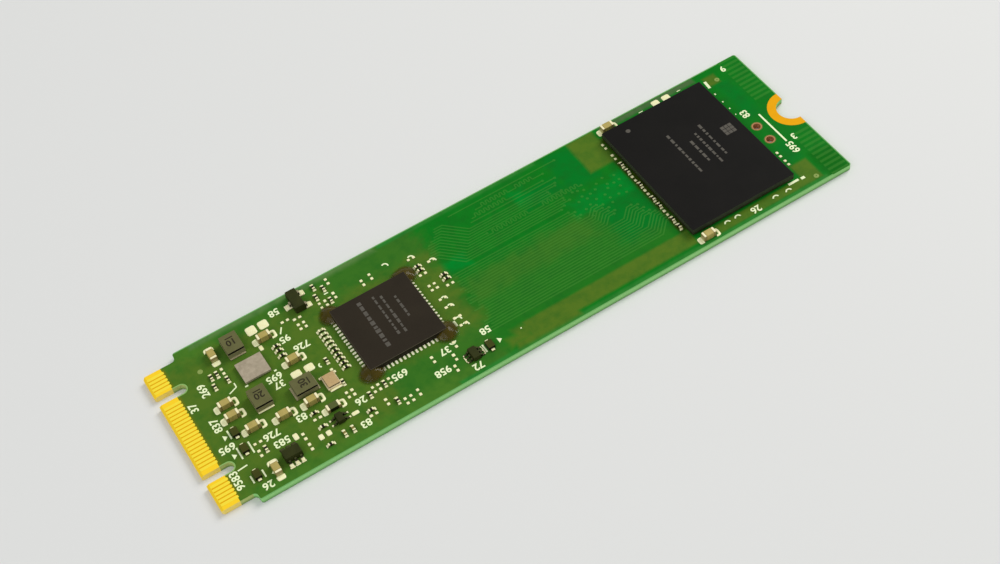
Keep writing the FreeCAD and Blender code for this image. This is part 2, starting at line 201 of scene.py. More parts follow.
def feed(tree, node, inputs):
    for key, value in inputs.items():
        if isinstance(value, bpy.types.NodeSocket):
            tree.links.new(value, node.inputs[key])
        else:
            node.inputs[key].default_value = value


def addNode(tree, kind, inputs, **options):
    node = tree.nodes.new(kind)
    for option, value in options.items():
        setattr(node, option, value)
    feed(tree, node, inputs)
    return node


def newTree(name, kind, inputs, outputs):
    tree = bpy.data.node_groups.new(name, kind)
    for inOut, sockets in (("INPUT", inputs), ("OUTPUT", outputs)):
        for label, socketKind in sockets.items():
            tree.interface.new_socket(label, in_out=inOut, socket_type="NodeSocket" + socketKind)
    return tree, tree.nodes.new("NodeGroupInput").outputs, tree.nodes.new("NodeGroupOutput")


def mixColour(tree, factor, first, second):
    return addNode(tree, "ShaderNodeMix", {0: factor, 6: first, 7: second}, data_type="RGBA").outputs[2]


def mathNode(tree, operation, first, second=0.0):
    return addNode(tree, "ShaderNodeMath", {0: first, 1: second}, operation=operation).outputs[0]


def vectorNode(tree, operation, first, second=(0, 0, 0)):
    return addNode(tree, "ShaderNodeVectorMath", {0: first, 1: second}, operation=operation).outputs[0]


def mapRange(tree, value, low, high, toLow=0.0, toHigh=1.0, kind="SMOOTHSTEP"):
    inputs = {"Value": value, "From Min": low, "From Max": high, "To Min": toLow, "To Max": toHigh}
    return addNode(tree, "ShaderNodeMapRange", inputs, interpolation_type=kind).outputs["Result"]


def noiseNode(tree, points, scale, detail, roughness=0.5):
    inputs = {"Vector": points, "Scale": scale, "Detail": detail, "Roughness": roughness}
    return addNode(tree, "ShaderNodeTexNoise", inputs).outputs[0]


def largest(tree, masks):
    result = masks[0]
    for mask in masks[1:]:
        result = mathNode(tree, "MAXIMUM", result, mask)
    return result


def inMillimetres(tree):
    coordinate = addNode(tree, "ShaderNodeTexCoord", {})
    return vectorNode(tree, "MULTIPLY", coordinate.outputs["Object"], (1 / mm, 1 / mm, 1 / mm))


def axesOf(tree, vector):
    return addNode(tree, "ShaderNodeSeparateXYZ", {0: vector}).outputs


def facingUp(tree, kind):  # how far a face looks up, from -1 to 1
    return axesOf(tree, addNode(tree, "ShaderNodeNewGeometry", {}).outputs[kind])[2]


# Shader groups

# detail and roughness of each noise and its share, and how far the two are spread
grainLook = {"fine": (3.0, 0.6), "fineShare": 0.65, "slow": (2.0, 0.5), "slowShare": 0.35,
             "span": (0.32, 0.68)}
fieldGrain = (0.8, 2.0)  # scale and detail of the unevenness


def makeGrainGroup():  # fine specks over a slow cloud, for colour, roughness and bump
    look = grainLook
    inputs = {"Base": "Color", "Speck": "Color", "Fine": "Float", "Slow": "Float", "Dull": "Float",
              "Sharp": "Float"}
    outputs = {"Colour": "Color", "Roughness": "Float", "Height": "Float"}
    tree, given, end = newTree("fineGrain", "ShaderNodeTree", inputs, outputs)
    points = inMillimetres(tree)
    fine = noiseNode(tree, points, given["Fine"], *look["fine"])
    slow = noiseNode(tree, points, given["Slow"], *look["slow"])
    height = mathNode(tree, "ADD", mathNode(tree, "MULTIPLY", fine, look["fineShare"]),
                      mathNode(tree, "MULTIPLY", slow, look["slowShare"]))
    share = mapRange(tree, height, *look["span"], kind="LINEAR")
    contrast = mathNode(tree, "SUBTRACT", given["Dull"], given["Sharp"])
    rough = mathNode(tree, "ADD", given["Sharp"], mathNode(tree, "MULTIPLY", share, contrast))
    colour = mixColour(tree, share, given["Base"], given["Speck"])
    feed(tree, end, {"Colour": colour, "Roughness": rough, "Height": height})
    return tree


def makeFieldGroup():  # a soft-edged rectangle on the board's face
    inputs = {"Middle": "Vector", "Half": "Vector", "Softness": "Float", "Unevenness": "Float"}
    tree, given, end = newTree("softField", "ShaderNodeTree", inputs, {"Mask": "Float"})
    points = inMillimetres(tree)
    away = vectorNode(tree, "ABSOLUTE", vectorNode(tree, "SUBTRACT", points, given["Middle"]))
    x, y, z = axesOf(tree, vectorNode(tree, "SUBTRACT", away, given["Half"]))
    wobble = mathNode(tree, "SUBTRACT", noiseNode(tree, points, *fieldGrain), 0.5)
    shake = mathNode(tree, "MULTIPLY", given["Softness"], given["Unevenness"])
    outside = mathNode(tree, "ADD", largest(tree, [x, y]), mathNode(tree, "MULTIPLY", wobble, shake))
    inner = mathNode(tree, "MULTIPLY", given["Softness"], -1.0)
    feed(tree, end, {"Mask": mapRange(tree, outside, inner, given["Softness"], 1.0, 0.0)})
    return tree


grainGroup = makeGrainGroup()
fieldGroup = makeFieldGroup()


def addGrain(tree, base, speck, fine, slow, dull, sharp):
    inputs = {"Base": paint(*base), "Speck": paint(*speck), "Fine": fine, "Slow": slow, "Dull": dull,
              "Sharp": sharp}
    return addNode(tree, "ShaderNodeGroup", inputs, node_tree=grainGroup).outputs


def newFinish(name, gloss=0.5, metal=0.0):
    material = bpy.data.materials.new(name)
    material.use_nodes = True
    tree = material.node_tree
    shader = tree.nodes["Principled BSDF"]
    feed(tree, shader, {"Specular IOR Level": gloss, "Metallic": metal})
    return material, tree, shader


def bumpFrom(tree, height, strength, depth):
    inputs = {"Height": height, "Strength": strength, "Distance": depth * mm}
    return addNode(tree, "ShaderNodeBump", inputs).outputs["Normal"]


# Plain finishes

flatSpan = (0.4, 0.94)  # from steep to level
ridgeGain = 3.2
finishLook = {
    # slot, base and speck colours, fine and slow grain, dullest and sharpest roughness, other values
    # the slope colour among the other values is painted light and shade on steep faces: painted reflections
    # on the solder's slopes, painted shade on the dark sides of the moulds and glazes, painted light with a
    # greenish painted reflection on the memory's sides
    "maskOverPlug": ("solder_mask", (128, 150, 74), (150, 168, 96), 5.0, 0.8, 0.5, 0.35, {"gloss": 0.035}),
    "legendInk": ("solder_mask", (250, 255, 212), (234, 248, 190), 14.0, 1.5, 0.75, 0.55, {"bump": 0.4}),
    "goldFinger": ("gold_plate", (255, 234, 56), (255, 222, 40), 12.0, 1.2, 0.42, 0.26,
                   {"bump": 0.25, "depth": 0.01, "metal": 0.04}),
    "goldRing": ("gold_plate", (240, 171, 0), (228, 160, 0), 10.0, 1.2, 0.45, 0.3,
                 {"bump": 0.25, "depth": 0.01, "metal": 0.05, "gloss": 0.06}),
    "brightTin": ("tin", (255, 255, 212), (241, 232, 166), 7.0, 2.2, 0.36, 0.18,
                  {"depth": 0.03, "paintedSlopeShading": (104, 92, 50)}),
    "flowTin": ("tin", (255, 255, 208), (253, 250, 190), 7.0, 2.2, 0.36, 0.18,
                {"depth": 0.03, "paintedSlopeShading": (168, 162, 100)}),
    "leadTin": ("tin", (255, 255, 222), (253, 250, 204), 7.0, 2.2, 0.36, 0.18,
                {"depth": 0.03, "paintedSlopeShading": (214, 208, 160)}),
    "capTin": ("tin", (255, 248, 206), (246, 234, 180), 8.0, 2.2, 0.4, 0.22, {"paintedSlopeShading": (150, 132, 78)}),
    "dullTin": ("tin", (186, 176, 136), (146, 136, 100), 8.0, 2.2, 0.5, 0.3, {"paintedSlopeShading": (76, 68, 42)}),
    "shadedTin": ("tin", (78, 80, 42), (58, 60, 30), 8.0, 2.2, 0.6, 0.4,
                  {"paintedSlopeShading": (30, 30, 14), "gloss": 0.15}),
    "memoryMould": ("chip_mould", (22, 20, 17), (16, 15, 13), 26.0, 0.3, 0.62, 0.46,
                    {"bump": 0.35, "depth": 0.012, "paintedSlopeShading": (56, 62, 46), "gloss": 0.08}),
    "controllerMould": ("chip_mould", (50, 43, 32), (40, 34, 25), 22.0, 0.4, 0.6, 0.45,
                        {"bump": 0.4, "depth": 0.014, "ridge": (104, 97, 78), "gloss": 0.09}),
    "smallMould": ("chip_mould", (57, 61, 24), (39, 43, 14), 24.0, 0.9, 0.6, 0.42,
                   {"bump": 0.4, "depth": 0.012, "gloss": 0.1}),
    "diodeMould": ("chip_mould", (75, 78, 26), (55, 58, 16), 24.0, 0.9, 0.6, 0.42,
                   {"bump": 0.4, "depth": 0.012, "paintedSlopeShading": (26, 26, 10), "gloss": 0.1}),
    "carrierLaminate": ("carrier_laminate", (50, 52, 24), (30, 32, 14), 20.0, 0.8, 0.7, 0.5, {"gloss": 0.2}),
    "groundSilicon": ("silicon", (186, 172, 147), (156, 143, 119), 2.2, 0.7, 0.5, 0.34,
                      {"bump": 0.12, "depth": 0.01, "metal": 0.1}),
    # painted light: the core's steep sides get a paler colour than its top
    "pressedPowder": ("inductor_core", (110, 109, 68), (90, 89, 53), 24.0, 1.0, 0.62, 0.46,
                      {"bump": 0.45, "paintedSlopeShading": (136, 132, 92), "gloss": 0.12}),
    # painted shade: near black for the shaded gap between the core's flanges
    "coreGapShade": ("inductor_core", (24, 20, 10), (14, 12, 6), 20.0, 1.0, 0.8, 0.6, {"gloss": 0.15}),
    "coreInk": ("inductor_core", (44, 40, 26), (54, 49, 34), 16.0, 2.0, 0.8, 0.6, {"gloss": 0.1}),
    # painted shadow: the lid's darker sides stand for the shadow line between lid and base
    "platedLid": ("crystal_lid", (206, 176, 122), (184, 152, 102), 8.0, 1.4, 0.5, 0.34,
                  {"bump": 0.25, "depth": 0.015, "paintedSlopeShading": (92, 74, 32), "metal": 0.12}),
    "crystalRim": ("crystal_ceramic", (244, 228, 186), (214, 190, 140), 12.0, 1.5, 0.6, 0.4, {}),
    "firedCeramic": ("capacitor_ceramic", (190, 172, 98), (164, 147, 76), 14.0, 1.6, 0.5, 0.34,
                     {"depth": 0.012, "gloss": 0.3}),
    "darkGlaze": ("dark_ceramic", (40, 38, 20), (22, 21, 11), 18.0, 1.5, 0.45, 0.28, {"gloss": 0.2}),
    "beadGlaze": ("dark_ceramic", (94, 103, 54), (76, 85, 40), 18.0, 1.5, 0.45, 0.28,
                  {"depth": 0.012, "paintedSlopeShading": (24, 26, 8), "gloss": 0.15}),
    "paleGlaze": ("dark_ceramic", (150, 136, 62), (118, 106, 44), 16.0, 1.5, 0.5, 0.3, {}),
    "sageGlaze": ("dark_ceramic", (176, 190, 126), (152, 167, 106), 16.0, 1.5, 0.5, 0.3,
                  {"depth": 0.012, "paintedSlopeShading": (60, 74, 22), "gloss": 0.15}),
    "laserMark": ("chip_mould", (92, 87, 76), (66, 61, 53), 30.0, 3.0, 0.8, 0.65,
                  {"bump": 0.4, "depth": 0.01}),
}


def flatShare(tree):  # 1 on level faces, 0 on steep flanks
    return mapRange(tree, facingUp(tree, "Normal"), *flatSpan)


def grainFinish(name, grainValues, bump=0.3, depth=0.02, paintedSlopeShading=None, ridge=None, gloss=0.5, metal=0.0):
    material, tree, shader = newFinish(name, gloss, metal)
    grain = addGrain(tree, *grainValues)
    colour = grain["Colour"]
    if paintedSlopeShading:  # painted light and shade: steep faces take a set colour in place of what they would mirror and how light would fall on them
        colour = mixColour(tree, flatShare(tree), paint(*paintedSlopeShading), colour)
    if ridge:  # rounded edges catch the light
        share = flatShare(tree)
        crest = mathNode(tree, "MULTIPLY", share, mathNode(tree, "SUBTRACT", 1.0, share))
        colour = mixColour(tree, mathNode(tree, "MULTIPLY", crest, ridgeGain), colour, paint(*ridge))
    normal = bumpFrom(tree, grain["Height"], bump, depth)
    feed(tree, shader, {"Base Color": colour, "Roughness": grain["Roughness"], "Normal": normal})
    return material


finishes = {}
for finishName, (slotName, *grainRow, extras) in finishLook.items():
    finishes[finishName] = grainFinish(finishName, grainRow, **extras)


# Board finish: green mask with paler and darker fields, bare laminate at the contacts, cut edges

maskLook = {
    "green": (8, 117, 24), "speck": (20, 121, 30), "grain": (9.0, 0.5, 0.32, 0.2), "bump": (0.12, 0.03),
    "gloss": 0.035, "mottle": 0.4, "mottleNoise": (0.75, 4.0, 0.6), "mottleSpan": (0.42, 0.7),
    "edgeShade": 0.7, "edgeSpan": (0.05, 0.45), "edgeDull": 0.3, "layerPitch": 46.0, "layerShare": 0.25,
    "stripLength": 2.13, "slotHeights": (-5.625, 6.125), "slotDepth": 2.9, "slotHalf": 0.6, "rimWidth": 0.13,
    "slotMargin": 0.1, "rowInset": 0.06, "rowBreak": 1.0, "rowSoftness": 0.01, "sideLimit": 0.5,
    "overCopper": {"maskOverCopper": 0.0, "maskOverTrace": 0.26, "maskOverComb": 0.22},  # how much paler
    "tones": {
        "emerald": (0, 131, 40), "bottle": (4, 118, 34), "moss": (58, 113, 33), "lime": (73, 120, 37),
        "fern": (35, 115, 28), "tongue": (54, 114, 30), "olive": (83, 114, 35), "copper": (84, 116, 33),
        "paintedEdgeHighlight": (46, 128, 46), "sage": (92, 130, 68), "pale": (80, 110, 66), "shade": (8, 103, 14),
        "brass": (112, 116, 22), "copperAndPaintedShade": (50, 70, 8), "deep": (24, 96, 28), "trace": (86, 154, 62),
        "rim": (112, 170, 98), "slotRim": (142, 182, 104), "slotWall": (186, 200, 122),
        "laminate": (255, 212, 44), "gap": (232, 172, 10), "tipEdge": (250, 224, 120),
        "edge": (176, 234, 154), "edgeDark": (130, 196, 108), "paintedLowEdgeShade": (84, 128, 70)},
    # each tone, how uneven its edges are, and its fields: middle, half size and softness
    "fields": (
        ("moss", 2.5, ((16.6, 0.0, 17.7, 14.0, 1.3),)),
        ("lime", 2.5, ((15.0, -10.4, 15.5, 1.3, 0.8), (4.5, 8.0, 4.5, 3.2, 1.0))),
        ("fern", 2.5, ((46.2, -3.6, 12.0, 4.6, 1.0),)),
        ("tongue", 2.5, ((43.2, -1.0, 8.0, 1.5, 0.9),)),
        ("olive", 2.5, ((10.5, -0.2, 11.5, 9.2, 1.2), (28.0, 1.0, 6.2, 5.8, 1.4))),
        ("bottle", 2.5, ((55.6, -1.2, 3.0, 4.4, 0.9), (54.0, 7.6, 2.2, 3.0, 0.8), (49.3, 6.3, 2.6, 1.2, 0.8),
                         (76.0, 4.9, 1.0, 3.4, 0.6), (75.5, -5.2, 0.8, 1.4, 0.7))),
        ("emerald", 2.5, ((35.9, 3.3, 1.4, 1.0, 0.5), (53.8, 1.9, 3.2, 1.2, 0.7), (46.9, 7.4, 0.8, 1.2, 0.7),
                          (57.8, 2.4, 0.9, 1.6, 0.5))),
        ("brass", 0.5, ((2.2, 0.2, 0.2, 9.4, 0.2),)),
        # painted highlight: a paler strip along the far edge
        ("sage", 0.5, ((17.6, 10.7, 11.6, 0.35, 0.45),)),
        # painted highlight: paler strips along the board's far and near edges
        ("paintedEdgeHighlight", 0.5, ((40.2, 10.75, 10.6, 0.3, 0.25), (54.0, -10.75, 26.0, 0.3, 0.25))),
        # partly painted shade: a dark strip beside the memory's left side, partly copper showing through the
        # mask
        ("copperAndPaintedShade", 1.0, ((59.3, 0.7, 0.8, 8.6, 0.3),)),
        ("pale", 0.5, ((66.6, 10.5, 6.8, 0.4, 0.3),)),
        ("shade", 2.5, ((78.6, -9.2, 1.5, 2.2, 0.8),)),
        ("copper", 0.5, ((57.2, 8.2, 1.8, 2.7, 0.3), (48.4, -8.9, 10.9, 1.1, 0.25),
                         (37.4, -8.8, 1.4, 0.8, 0.6), (36.3, -9.4, 1.4, 0.6, 0.6),
                         (39.4, -10.1, 4.0, 0.5, 0.4), (69.2, -9.8, 7.2, 0.6, 0.2),
                         (75.3, -8.8, 1.1, 1.6, 0.25), (75.2, 9.15, 0.8, 0.75, 0.25))),
    ),
}
maskTones = {tone: paint(*colour) for tone, colour in maskLook["tones"].items()}


def fieldMask(tree, fields, unevenness):
    masks = []
    for x, y, halfX, halfY, softness in fields:
        inputs = {"Middle": (contactEdge + x, y, 0), "Half": (halfX, halfY, 1), "Softness": softness,
                  "Unevenness": unevenness}
        masks.append(addNode(tree, "ShaderNodeGroup", inputs, node_tree=fieldGroup).outputs[0])
    return largest(tree, masks)


def within(tree, across, along, reach):  # 1 inside a circle
    squared = mathNode(tree, "ADD", mathNode(tree, "POWER", across, 2.0), mathNode(tree, "POWER", along, 2.0))
    return mathNode(tree, "LESS_THAN", squared, reach ** 2)


def slotRimMask(tree, x, y):  # the mask stops short of each key slot
    look = maskLook
    reach = look["slotHalf"] + look["rimWidth"]
    past = mathNode(tree, "MAXIMUM", mathNode(tree, "SUBTRACT", x, contactEdge + look["slotDepth"]), 0.0)
    return largest(tree, [within(tree, mathNode(tree, "SUBTRACT", y, height), past, reach)
                          for height in look["slotHeights"]])


def outerRimMask(tree, x, y):  # and of the board's long edges and far end
    beside = mathNode(tree, "GREATER_THAN", mathNode(tree, "ABSOLUTE", y), halfWidth - maskLook["rimWidth"])
    return largest(tree, [beside, mathNode(tree, "GREATER_THAN", x, mountEdge - maskLook["rimWidth"])])


def contactRows():  # the laminate between the contacts of each row, as fields
    look = maskLook
    heights = sorted(solid["middle"].y for solid in solidsOf("top_edge_contacts"))
    low, high = boxOf("top_edge_contacts")
    middle = (low.x + high.x) / 2 - contactEdge
    half = (high.x - low.x) / 2 - look["rowInset"]
    breaks = [index + 1 for index, (a, b) in enumerate(zip(heights, heights[1:])) if b - a > look["rowBreak"]]
    rows = []
    for first, last in zip([0] + breaks, breaks + [len(heights)]):
        bottom, top = heights[first], heights[last - 1]
        rows.append((middle, (bottom + top) / 2, half, (top - bottom) / 2, look["rowSoftness"]))
    return rows


def maskGrain(tree):
    return addGrain(tree, maskLook["green"], maskLook["speck"], *maskLook["grain"])


def maskColour(tree, grain):  # the mask's own colour, with its deeper and paler fields
    look = maskLook
    colour = grain["Colour"]
    for tone, unevenness, fields in look["fields"]:
        colour = mixColour(tree, fieldMask(tree, fields, unevenness), colour, maskTones[tone])
    mottle = noiseNode(tree, inMillimetres(tree), *look["mottleNoise"])
    share = mapRange(tree, mottle, *look["mottleSpan"], 0.0, look["mottle"], "LINEAR")
    return mixColour(tree, share, colour, maskTones["deep"])


def makeBoardFinish(name):
    look = maskLook
    tones = maskTones
    material, tree, shader = newFinish(name, look["gloss"])
    x, y, z = axesOf(tree, inMillimetres(tree))
    grain = maskGrain(tree)
    colour = mixColour(tree, slotRimMask(tree, x, y), maskColour(tree, grain), tones["slotRim"])
    colour = mixColour(tree, outerRimMask(tree, x, y), colour, tones["rim"])
    strip = mathNode(tree, "LESS_THAN", x, contactEdge + look["stripLength"])
    bare = mixColour(tree, fieldMask(tree, contactRows(), 0.0), tones["laminate"], tones["gap"])
    colour = mixColour(tree, strip, colour, bare)
    layers = mathNode(tree, "SINE", mathNode(tree, "MULTIPLY", z, look["layerPitch"]))
    layers = mathNode(tree, "ADD", mathNode(tree, "MULTIPLY", layers, look["layerShare"]), grain["Height"])
    slotEnd = contactEdge + look["slotDepth"] + look["slotHalf"] + look["slotMargin"]
    inSlot = mathNode(tree, "LESS_THAN", x, slotEnd)
    # painted shade: the board's cut edges turn darker towards the bottom
    low = mapRange(tree, z, *look["edgeSpan"], look["edgeShade"], 0.0, "LINEAR")
    cut = mixColour(tree, layers, tones["edge"], tones["edgeDark"])
    for mask, tone in ((inSlot, "slotWall"), (low, "paintedLowEdgeShade"), (strip, "tipEdge")):
        cut = mixColour(tree, mask, cut, tones[tone])
    level = mathNode(tree, "ABSOLUTE", facingUp(tree, "True Normal"))
    side = mathNode(tree, "LESS_THAN", level, look["sideLimit"])
    rough = mathNode(tree, "ADD", grain["Roughness"], mathNode(tree, "MULTIPLY", side, look["edgeDull"]))
    normal = bumpFrom(tree, grain["Height"], *look["bump"])
    colour = mixColour(tree, side, colour, cut)
    feed(tree, shader, {"Base Color": colour, "Roughness": rough, "Normal": normal})
    return material


def makeTraceFinish(name, share):  # the same mask, paler over copper lines
    material, tree, shader = newFinish(name, maskLook["gloss"])
    grain = maskGrain(tree)
    colour = mixColour(tree, share, maskColour(tree, grain), maskTones["trace"])
    normal = bumpFrom(tree, grain["Height"], *maskLook["bump"])
    feed(tree, shader, {"Base Color": colour, "Roughness": grain["Roughness"], "Normal": normal})
    return material


amberLook = {"grain": ((80, 66, 16), (62, 54, 13), 0.9, 0.5, 0.6, 0.4), "roughness": 0.1, "gloss": 0.13,
             "fullDepth": 0.4, "fullAlpha": 0.88}


def makeGlueFinish(name):  # amber glue, clear at its thin rim and dark where it is thick
    look = amberLook
    material, tree, shader = newFinish(name, look["gloss"])
    height = axesOf(tree, inMillimetres(tree))[2]
    alpha = mapRange(tree, height, boardTop, boardTop + look["fullDepth"], 0.0, look["fullAlpha"])
    colour = addGrain(tree, *look["grain"])["Colour"]
    feed(tree, shader, {"Base Color": colour, "Alpha": alpha, "Roughness": look["roughness"]})
    return material


eyeletLook = {"grain": ((196, 140, 92), (160, 104, 62), 12.0, 2.0, 0.5, 0.3), "gloss": 0.2, "metal": 0.1,
              "covered": (86, 108, 40), "bareReach": 0.6}


def makeEyeletFinish(name):  # bare copper close to the hole, mask over the rest of the land
    look = eyeletLook
    material, tree, shader = newFinish(name, look["gloss"], look["metal"])
    grain = addGrain(tree, *look["grain"])
    x, y, z = axesOf(tree, inMillimetres(tree))
    colour = paint(*look["covered"])
    for solid in solidsOf("jumper_eyelets"):
        across = mathNode(tree, "SUBTRACT", x, solid["middle"].x)
        along = mathNode(tree, "SUBTRACT", y, solid["middle"].y)
        colour = mixColour(tree, within(tree, across, along, look["bareReach"]), colour, grain["Colour"])
    feed(tree, shader, {"Base Color": colour, "Roughness": grain["Roughness"]})
    return material


finishes["boardMask"] = makeBoardFinish("boardMask")
finishes["eyeletCopper"] = makeEyeletFinish("eyeletCopper")
finishes["amberGlue"] = makeGlueFinish("amberGlue")
for finishName, paler in maskLook["overCopper"].items():
    finishes[finishName] = makeTraceFinish(finishName, paler)
print("finishes made:", len(finishes))


# Geometry Nodes: shapes set on points, and ribbons along paths

shapeSeed = 7
ribbonTaper = 0.7  # a ribbon's top, as a share of its foot


def finishTree(tree, geometry, given, end):
    real = addNode(tree, "GeometryNodeRealizeInstances", {0: geometry}).outputs[0]
    done = addNode(tree, "GeometryNodeSetMaterial", {"Geometry": real, "Material": given["Finish"]})
    feed(tree, end, {0: done.outputs[0]})


def makeSetOnPoints():
    inputs = {"Geometry": "Geometry", "Shape": "Object", "Unevenness": "Float", "Seed": "Int",
              "Finish": "Material"}
    tree, given, end = newTree("setOnPoints", "GeometryNodeTree", inputs, {"Geometry": "Geometry"})
    shape = addNode(tree, "GeometryNodeObjectInfo", {"Object": given["Shape"]})
    size = addNode(tree, "GeometryNodeInputNamedAttribute", {"Name": "size"}, data_type="FLOAT_VECTOR")
    turn = addNode(tree, "GeometryNodeInputNamedAttribute", {"Name": "turn"})
    low = mathNode(tree, "SUBTRACT", 1.0, given["Unevenness"])
    high = mathNode(tree, "ADD", 1.0, given["Unevenness"])
    uneven = addNode(tree, "FunctionNodeRandomValue", {0: low, 1: high, "Seed": given["Seed"]},
                     data_type="FLOAT_VECTOR")
    scale = vectorNode(tree, "MULTIPLY", size.outputs["Attribute"], uneven.outputs[0])
    angles = addNode(tree, "ShaderNodeCombineXYZ", {"Z": turn.outputs["Attribute"]})
    rotation = addNode(tree, "FunctionNodeEulerToRotation", {0: angles.outputs[0]})
    instances = addNode(tree, "GeometryNodeInstanceOnPoints", {
        "Points": given["Geometry"], "Instance": shape.outputs["Geometry"], "Rotation": rotation.outputs[0],
        "Scale": scale})
    finishTree(tree, instances.outputs[0], given, end)
    return tree


def makeRibbons():
    inputs = {"Geometry": "Geometry", "Width": "Float", "Height": "Float", "Bend": "Float",
              "Finish": "Material"}
    tree, given, end = newTree("ribbons", "GeometryNodeTree", inputs, {"Geometry": "Geometry"})
    bent = addNode(tree, "GeometryNodeFilletCurve", {
        "Curve": given["Geometry"], "Radius": given["Bend"], "Count": 4, "Limit Radius": True}, mode="POLY")
    upright = addNode(tree, "GeometryNodeSetCurveNormal", {"Curve": bent.outputs[0]}, mode="Z_UP")
    narrow = mathNode(tree, "MULTIPLY", ribbonTaper, given["Width"])
    section = addNode(tree, "GeometryNodeCurvePrimitiveQuadrilateral", {
        "Bottom Width": given["Width"], "Top Width": narrow, "Height": given["Height"], "Offset": 0.0},
        mode="TRAPEZOID")
    sweep = addNode(tree, "GeometryNodeCurveToMesh", {
        "Curve": upright.outputs[0], "Profile Curve": section.outputs[0], "Fill Caps": True})
    finishTree(tree, sweep.outputs[0], given, end)
    return tree


setOnPoints = makeSetOnPoints()
ribbons = makeRibbons()


def runTree(source, tree, values):  # a plain mesh from the tree's result, with the source removed
    modifier = source.modifiers.new("made", "NODES")
    modifier.node_group = tree
    for item in tree.interface.items_tree:
        if item.in_out == "INPUT" and item.name in values:
            modifier[item.identifier] = values[item.name]
    mesh = bakedMesh(source)
    for name in ("size", "turn"):  # what the points carried is of no use in the mesh
        if name in mesh.attributes:
            mesh.attributes.remove(mesh.attributes[name])
    return cleaned(mesh)


def spotFor(at, size, turn=0.0):
    return {"at": Vector(at), "size": Vector(size), "turn": turn}


def spotOf(solid, growth=1.0):
    return spotFor(solid["middle"], solid["size"] * growth)


def setShapes(name, shape, spots, finish, replaced=(), unevenness=0.0, extra=None):
    dots = bpy.data.meshes.new(name + "Dots")
    dots.from_pydata([spot["at"] * mm for spot in spots], [], [])
    dots.attributes.new("size", "FLOAT_VECTOR", "POINT")
    dots.attributes.new("turn", "FLOAT", "POINT")
    for index, spot in enumerate(spots):
        dots.attributes["size"].data[index].vector = spot["size"]
        dots.attributes["turn"].data[index].value = math.radians(spot["turn"])
    shapeObject = bpy.data.objects.new(name + "Shape", shape)
    values = {"Shape": shapeObject, "Unevenness": unevenness, "Seed": shapeSeed, "Finish": finishes[finish]}
    mesh = runTree(newObject(name + "Dots", dots), setOnPoints, values)
    bpy.data.objects.remove(shapeObject)
    if extra is not None:  # plain solids of the same node join the set ones
        bm = bmesh.new()
        bm.from_mesh(mesh)
        bm.from_mesh(extra)
        bm.to_mesh(mesh)
        bm.free()
    addPiece(name, mesh, finish, replaced)


# Unit shapes: one millimetre each way, set out and sized on points

def unitBlock(roundness):
    bm = bmesh.new()
    addBlock(bm, Vector(), (1, 1, 1))
    bmesh.ops.bevel(bm, geom=bm.edges[:], offset=roundness, segments=2, profile=0.5, affect="EDGES")
    return meshOf(bm, "unitBlock")


def ringedSurface(bm, rings):  # closes rings of points into one skin, from the foot to the crown
    loops = [[bm.verts.new(point) for point in ring] for ring in rings]
    count = len(loops[0])
    for lower, upper in zip(loops, loops[1:]):
        for index in range(count):
            after = (index + 1) % count
            bm.faces.new((lower[index], lower[after], upper[after], upper[index]))
    bm.faces.new(loops[0][::-1])
    bm.faces.new(loops[-1])


def unitRound(name, rings, sides, squareness=2.0):  # rings of a reach and a height, round or squarer
    points = []
    for reach, height in rings:
        ring = []
        for side in range(sides):
            x = math.cos(2 * math.pi * side / sides)
            y = math.sin(2 * math.pi * side / sides)
            radius = reach * (abs(x) ** squareness + abs(y) ** squareness) ** (-1 / squareness)
            ring.append((radius * x, radius * y, height))
        points.append(ring)
    bm = bmesh.new()
    ringedSurface(bm, points)
    return meshOf(bm, name)


def unitPad():  # a tinned pad: a rounded rectangle with a crowned top
    rings = ((0.5, -0.5), (0.5, 0.15), (0.465, 0.5), (0.375, 0.8), (0.225, 0.97), (0.075, 1.0))
    return unitRound("unitPad", rings, 20, 7.0)


def unitBall():  # a soldered ball, flattened where it meets both faces
    heights = [step / 6 - 0.5 for step in range(7)]
    rings = [(0.36 + 0.14 * math.cos(math.pi * height * 0.95), height) for height in heights]
    return unitRound("unitBall", rings, 12)


def unitVia():  # a covered hole: a low ring with a dimple
    rings = ((0.5, -0.5), (0.5, 0.4), (0.42, 1.0), (0.28, 0.9), (0.16, 0.3), (0.05, 0.2))
    return unitRound("unitVia", rings, 14)


def sheetWithFoot(name, grid, foot):  # closes a sheet of points down to a flat foot
    bm = bmesh.new()
    grid = [[bm.verts.new(point) for point in line] for line in grid]
    for lower, upper in zip(grid, grid[1:]):
        for column in range(len(lower) - 1):
            bm.faces.new((lower[column], lower[column + 1], upper[column + 1], upper[column]))
    border = [line[0] for line in grid] + grid[-1][1:]
    border += [line[-1] for line in grid[-2::-1]] + grid[0][-2:0:-1]
    feet = [bm.verts.new((vert.co.x, vert.co.y, foot)) for vert in border]
    for index, vert in enumerate(border):
        after = (index + 1) % len(border)
        bm.faces.new((vert, border[after], feet[after], feet[index]))
    bm.faces.new(feet)
    return meshOf(bm, name)


filletShape = {"profile": ((0.0, 0.9), (0.3, 0.46), (0.7, 0.24), (0.92, 0.18), (1.0, 0.04)),
               "across": (-1.0, -0.82, 0.0, 0.82, 1.0), "roundness": 0.15, "sideRise": 0.3, "foot": -0.05}


def unitFillet():  # a little solder that climbs a wall at x = 0 and runs out along +x
    look = filletShape
    grid = []
    for out, rise in look["profile"]:
        grid.append([(out * (1 - look["roundness"] * abs(side) ** 4), side * 0.5,
                      rise * (look["sideRise"] if abs(side) == 1 else 1.0)) for side in look["across"]])
    return sheetWithFoot("unitFillet", grid, look["foot"])


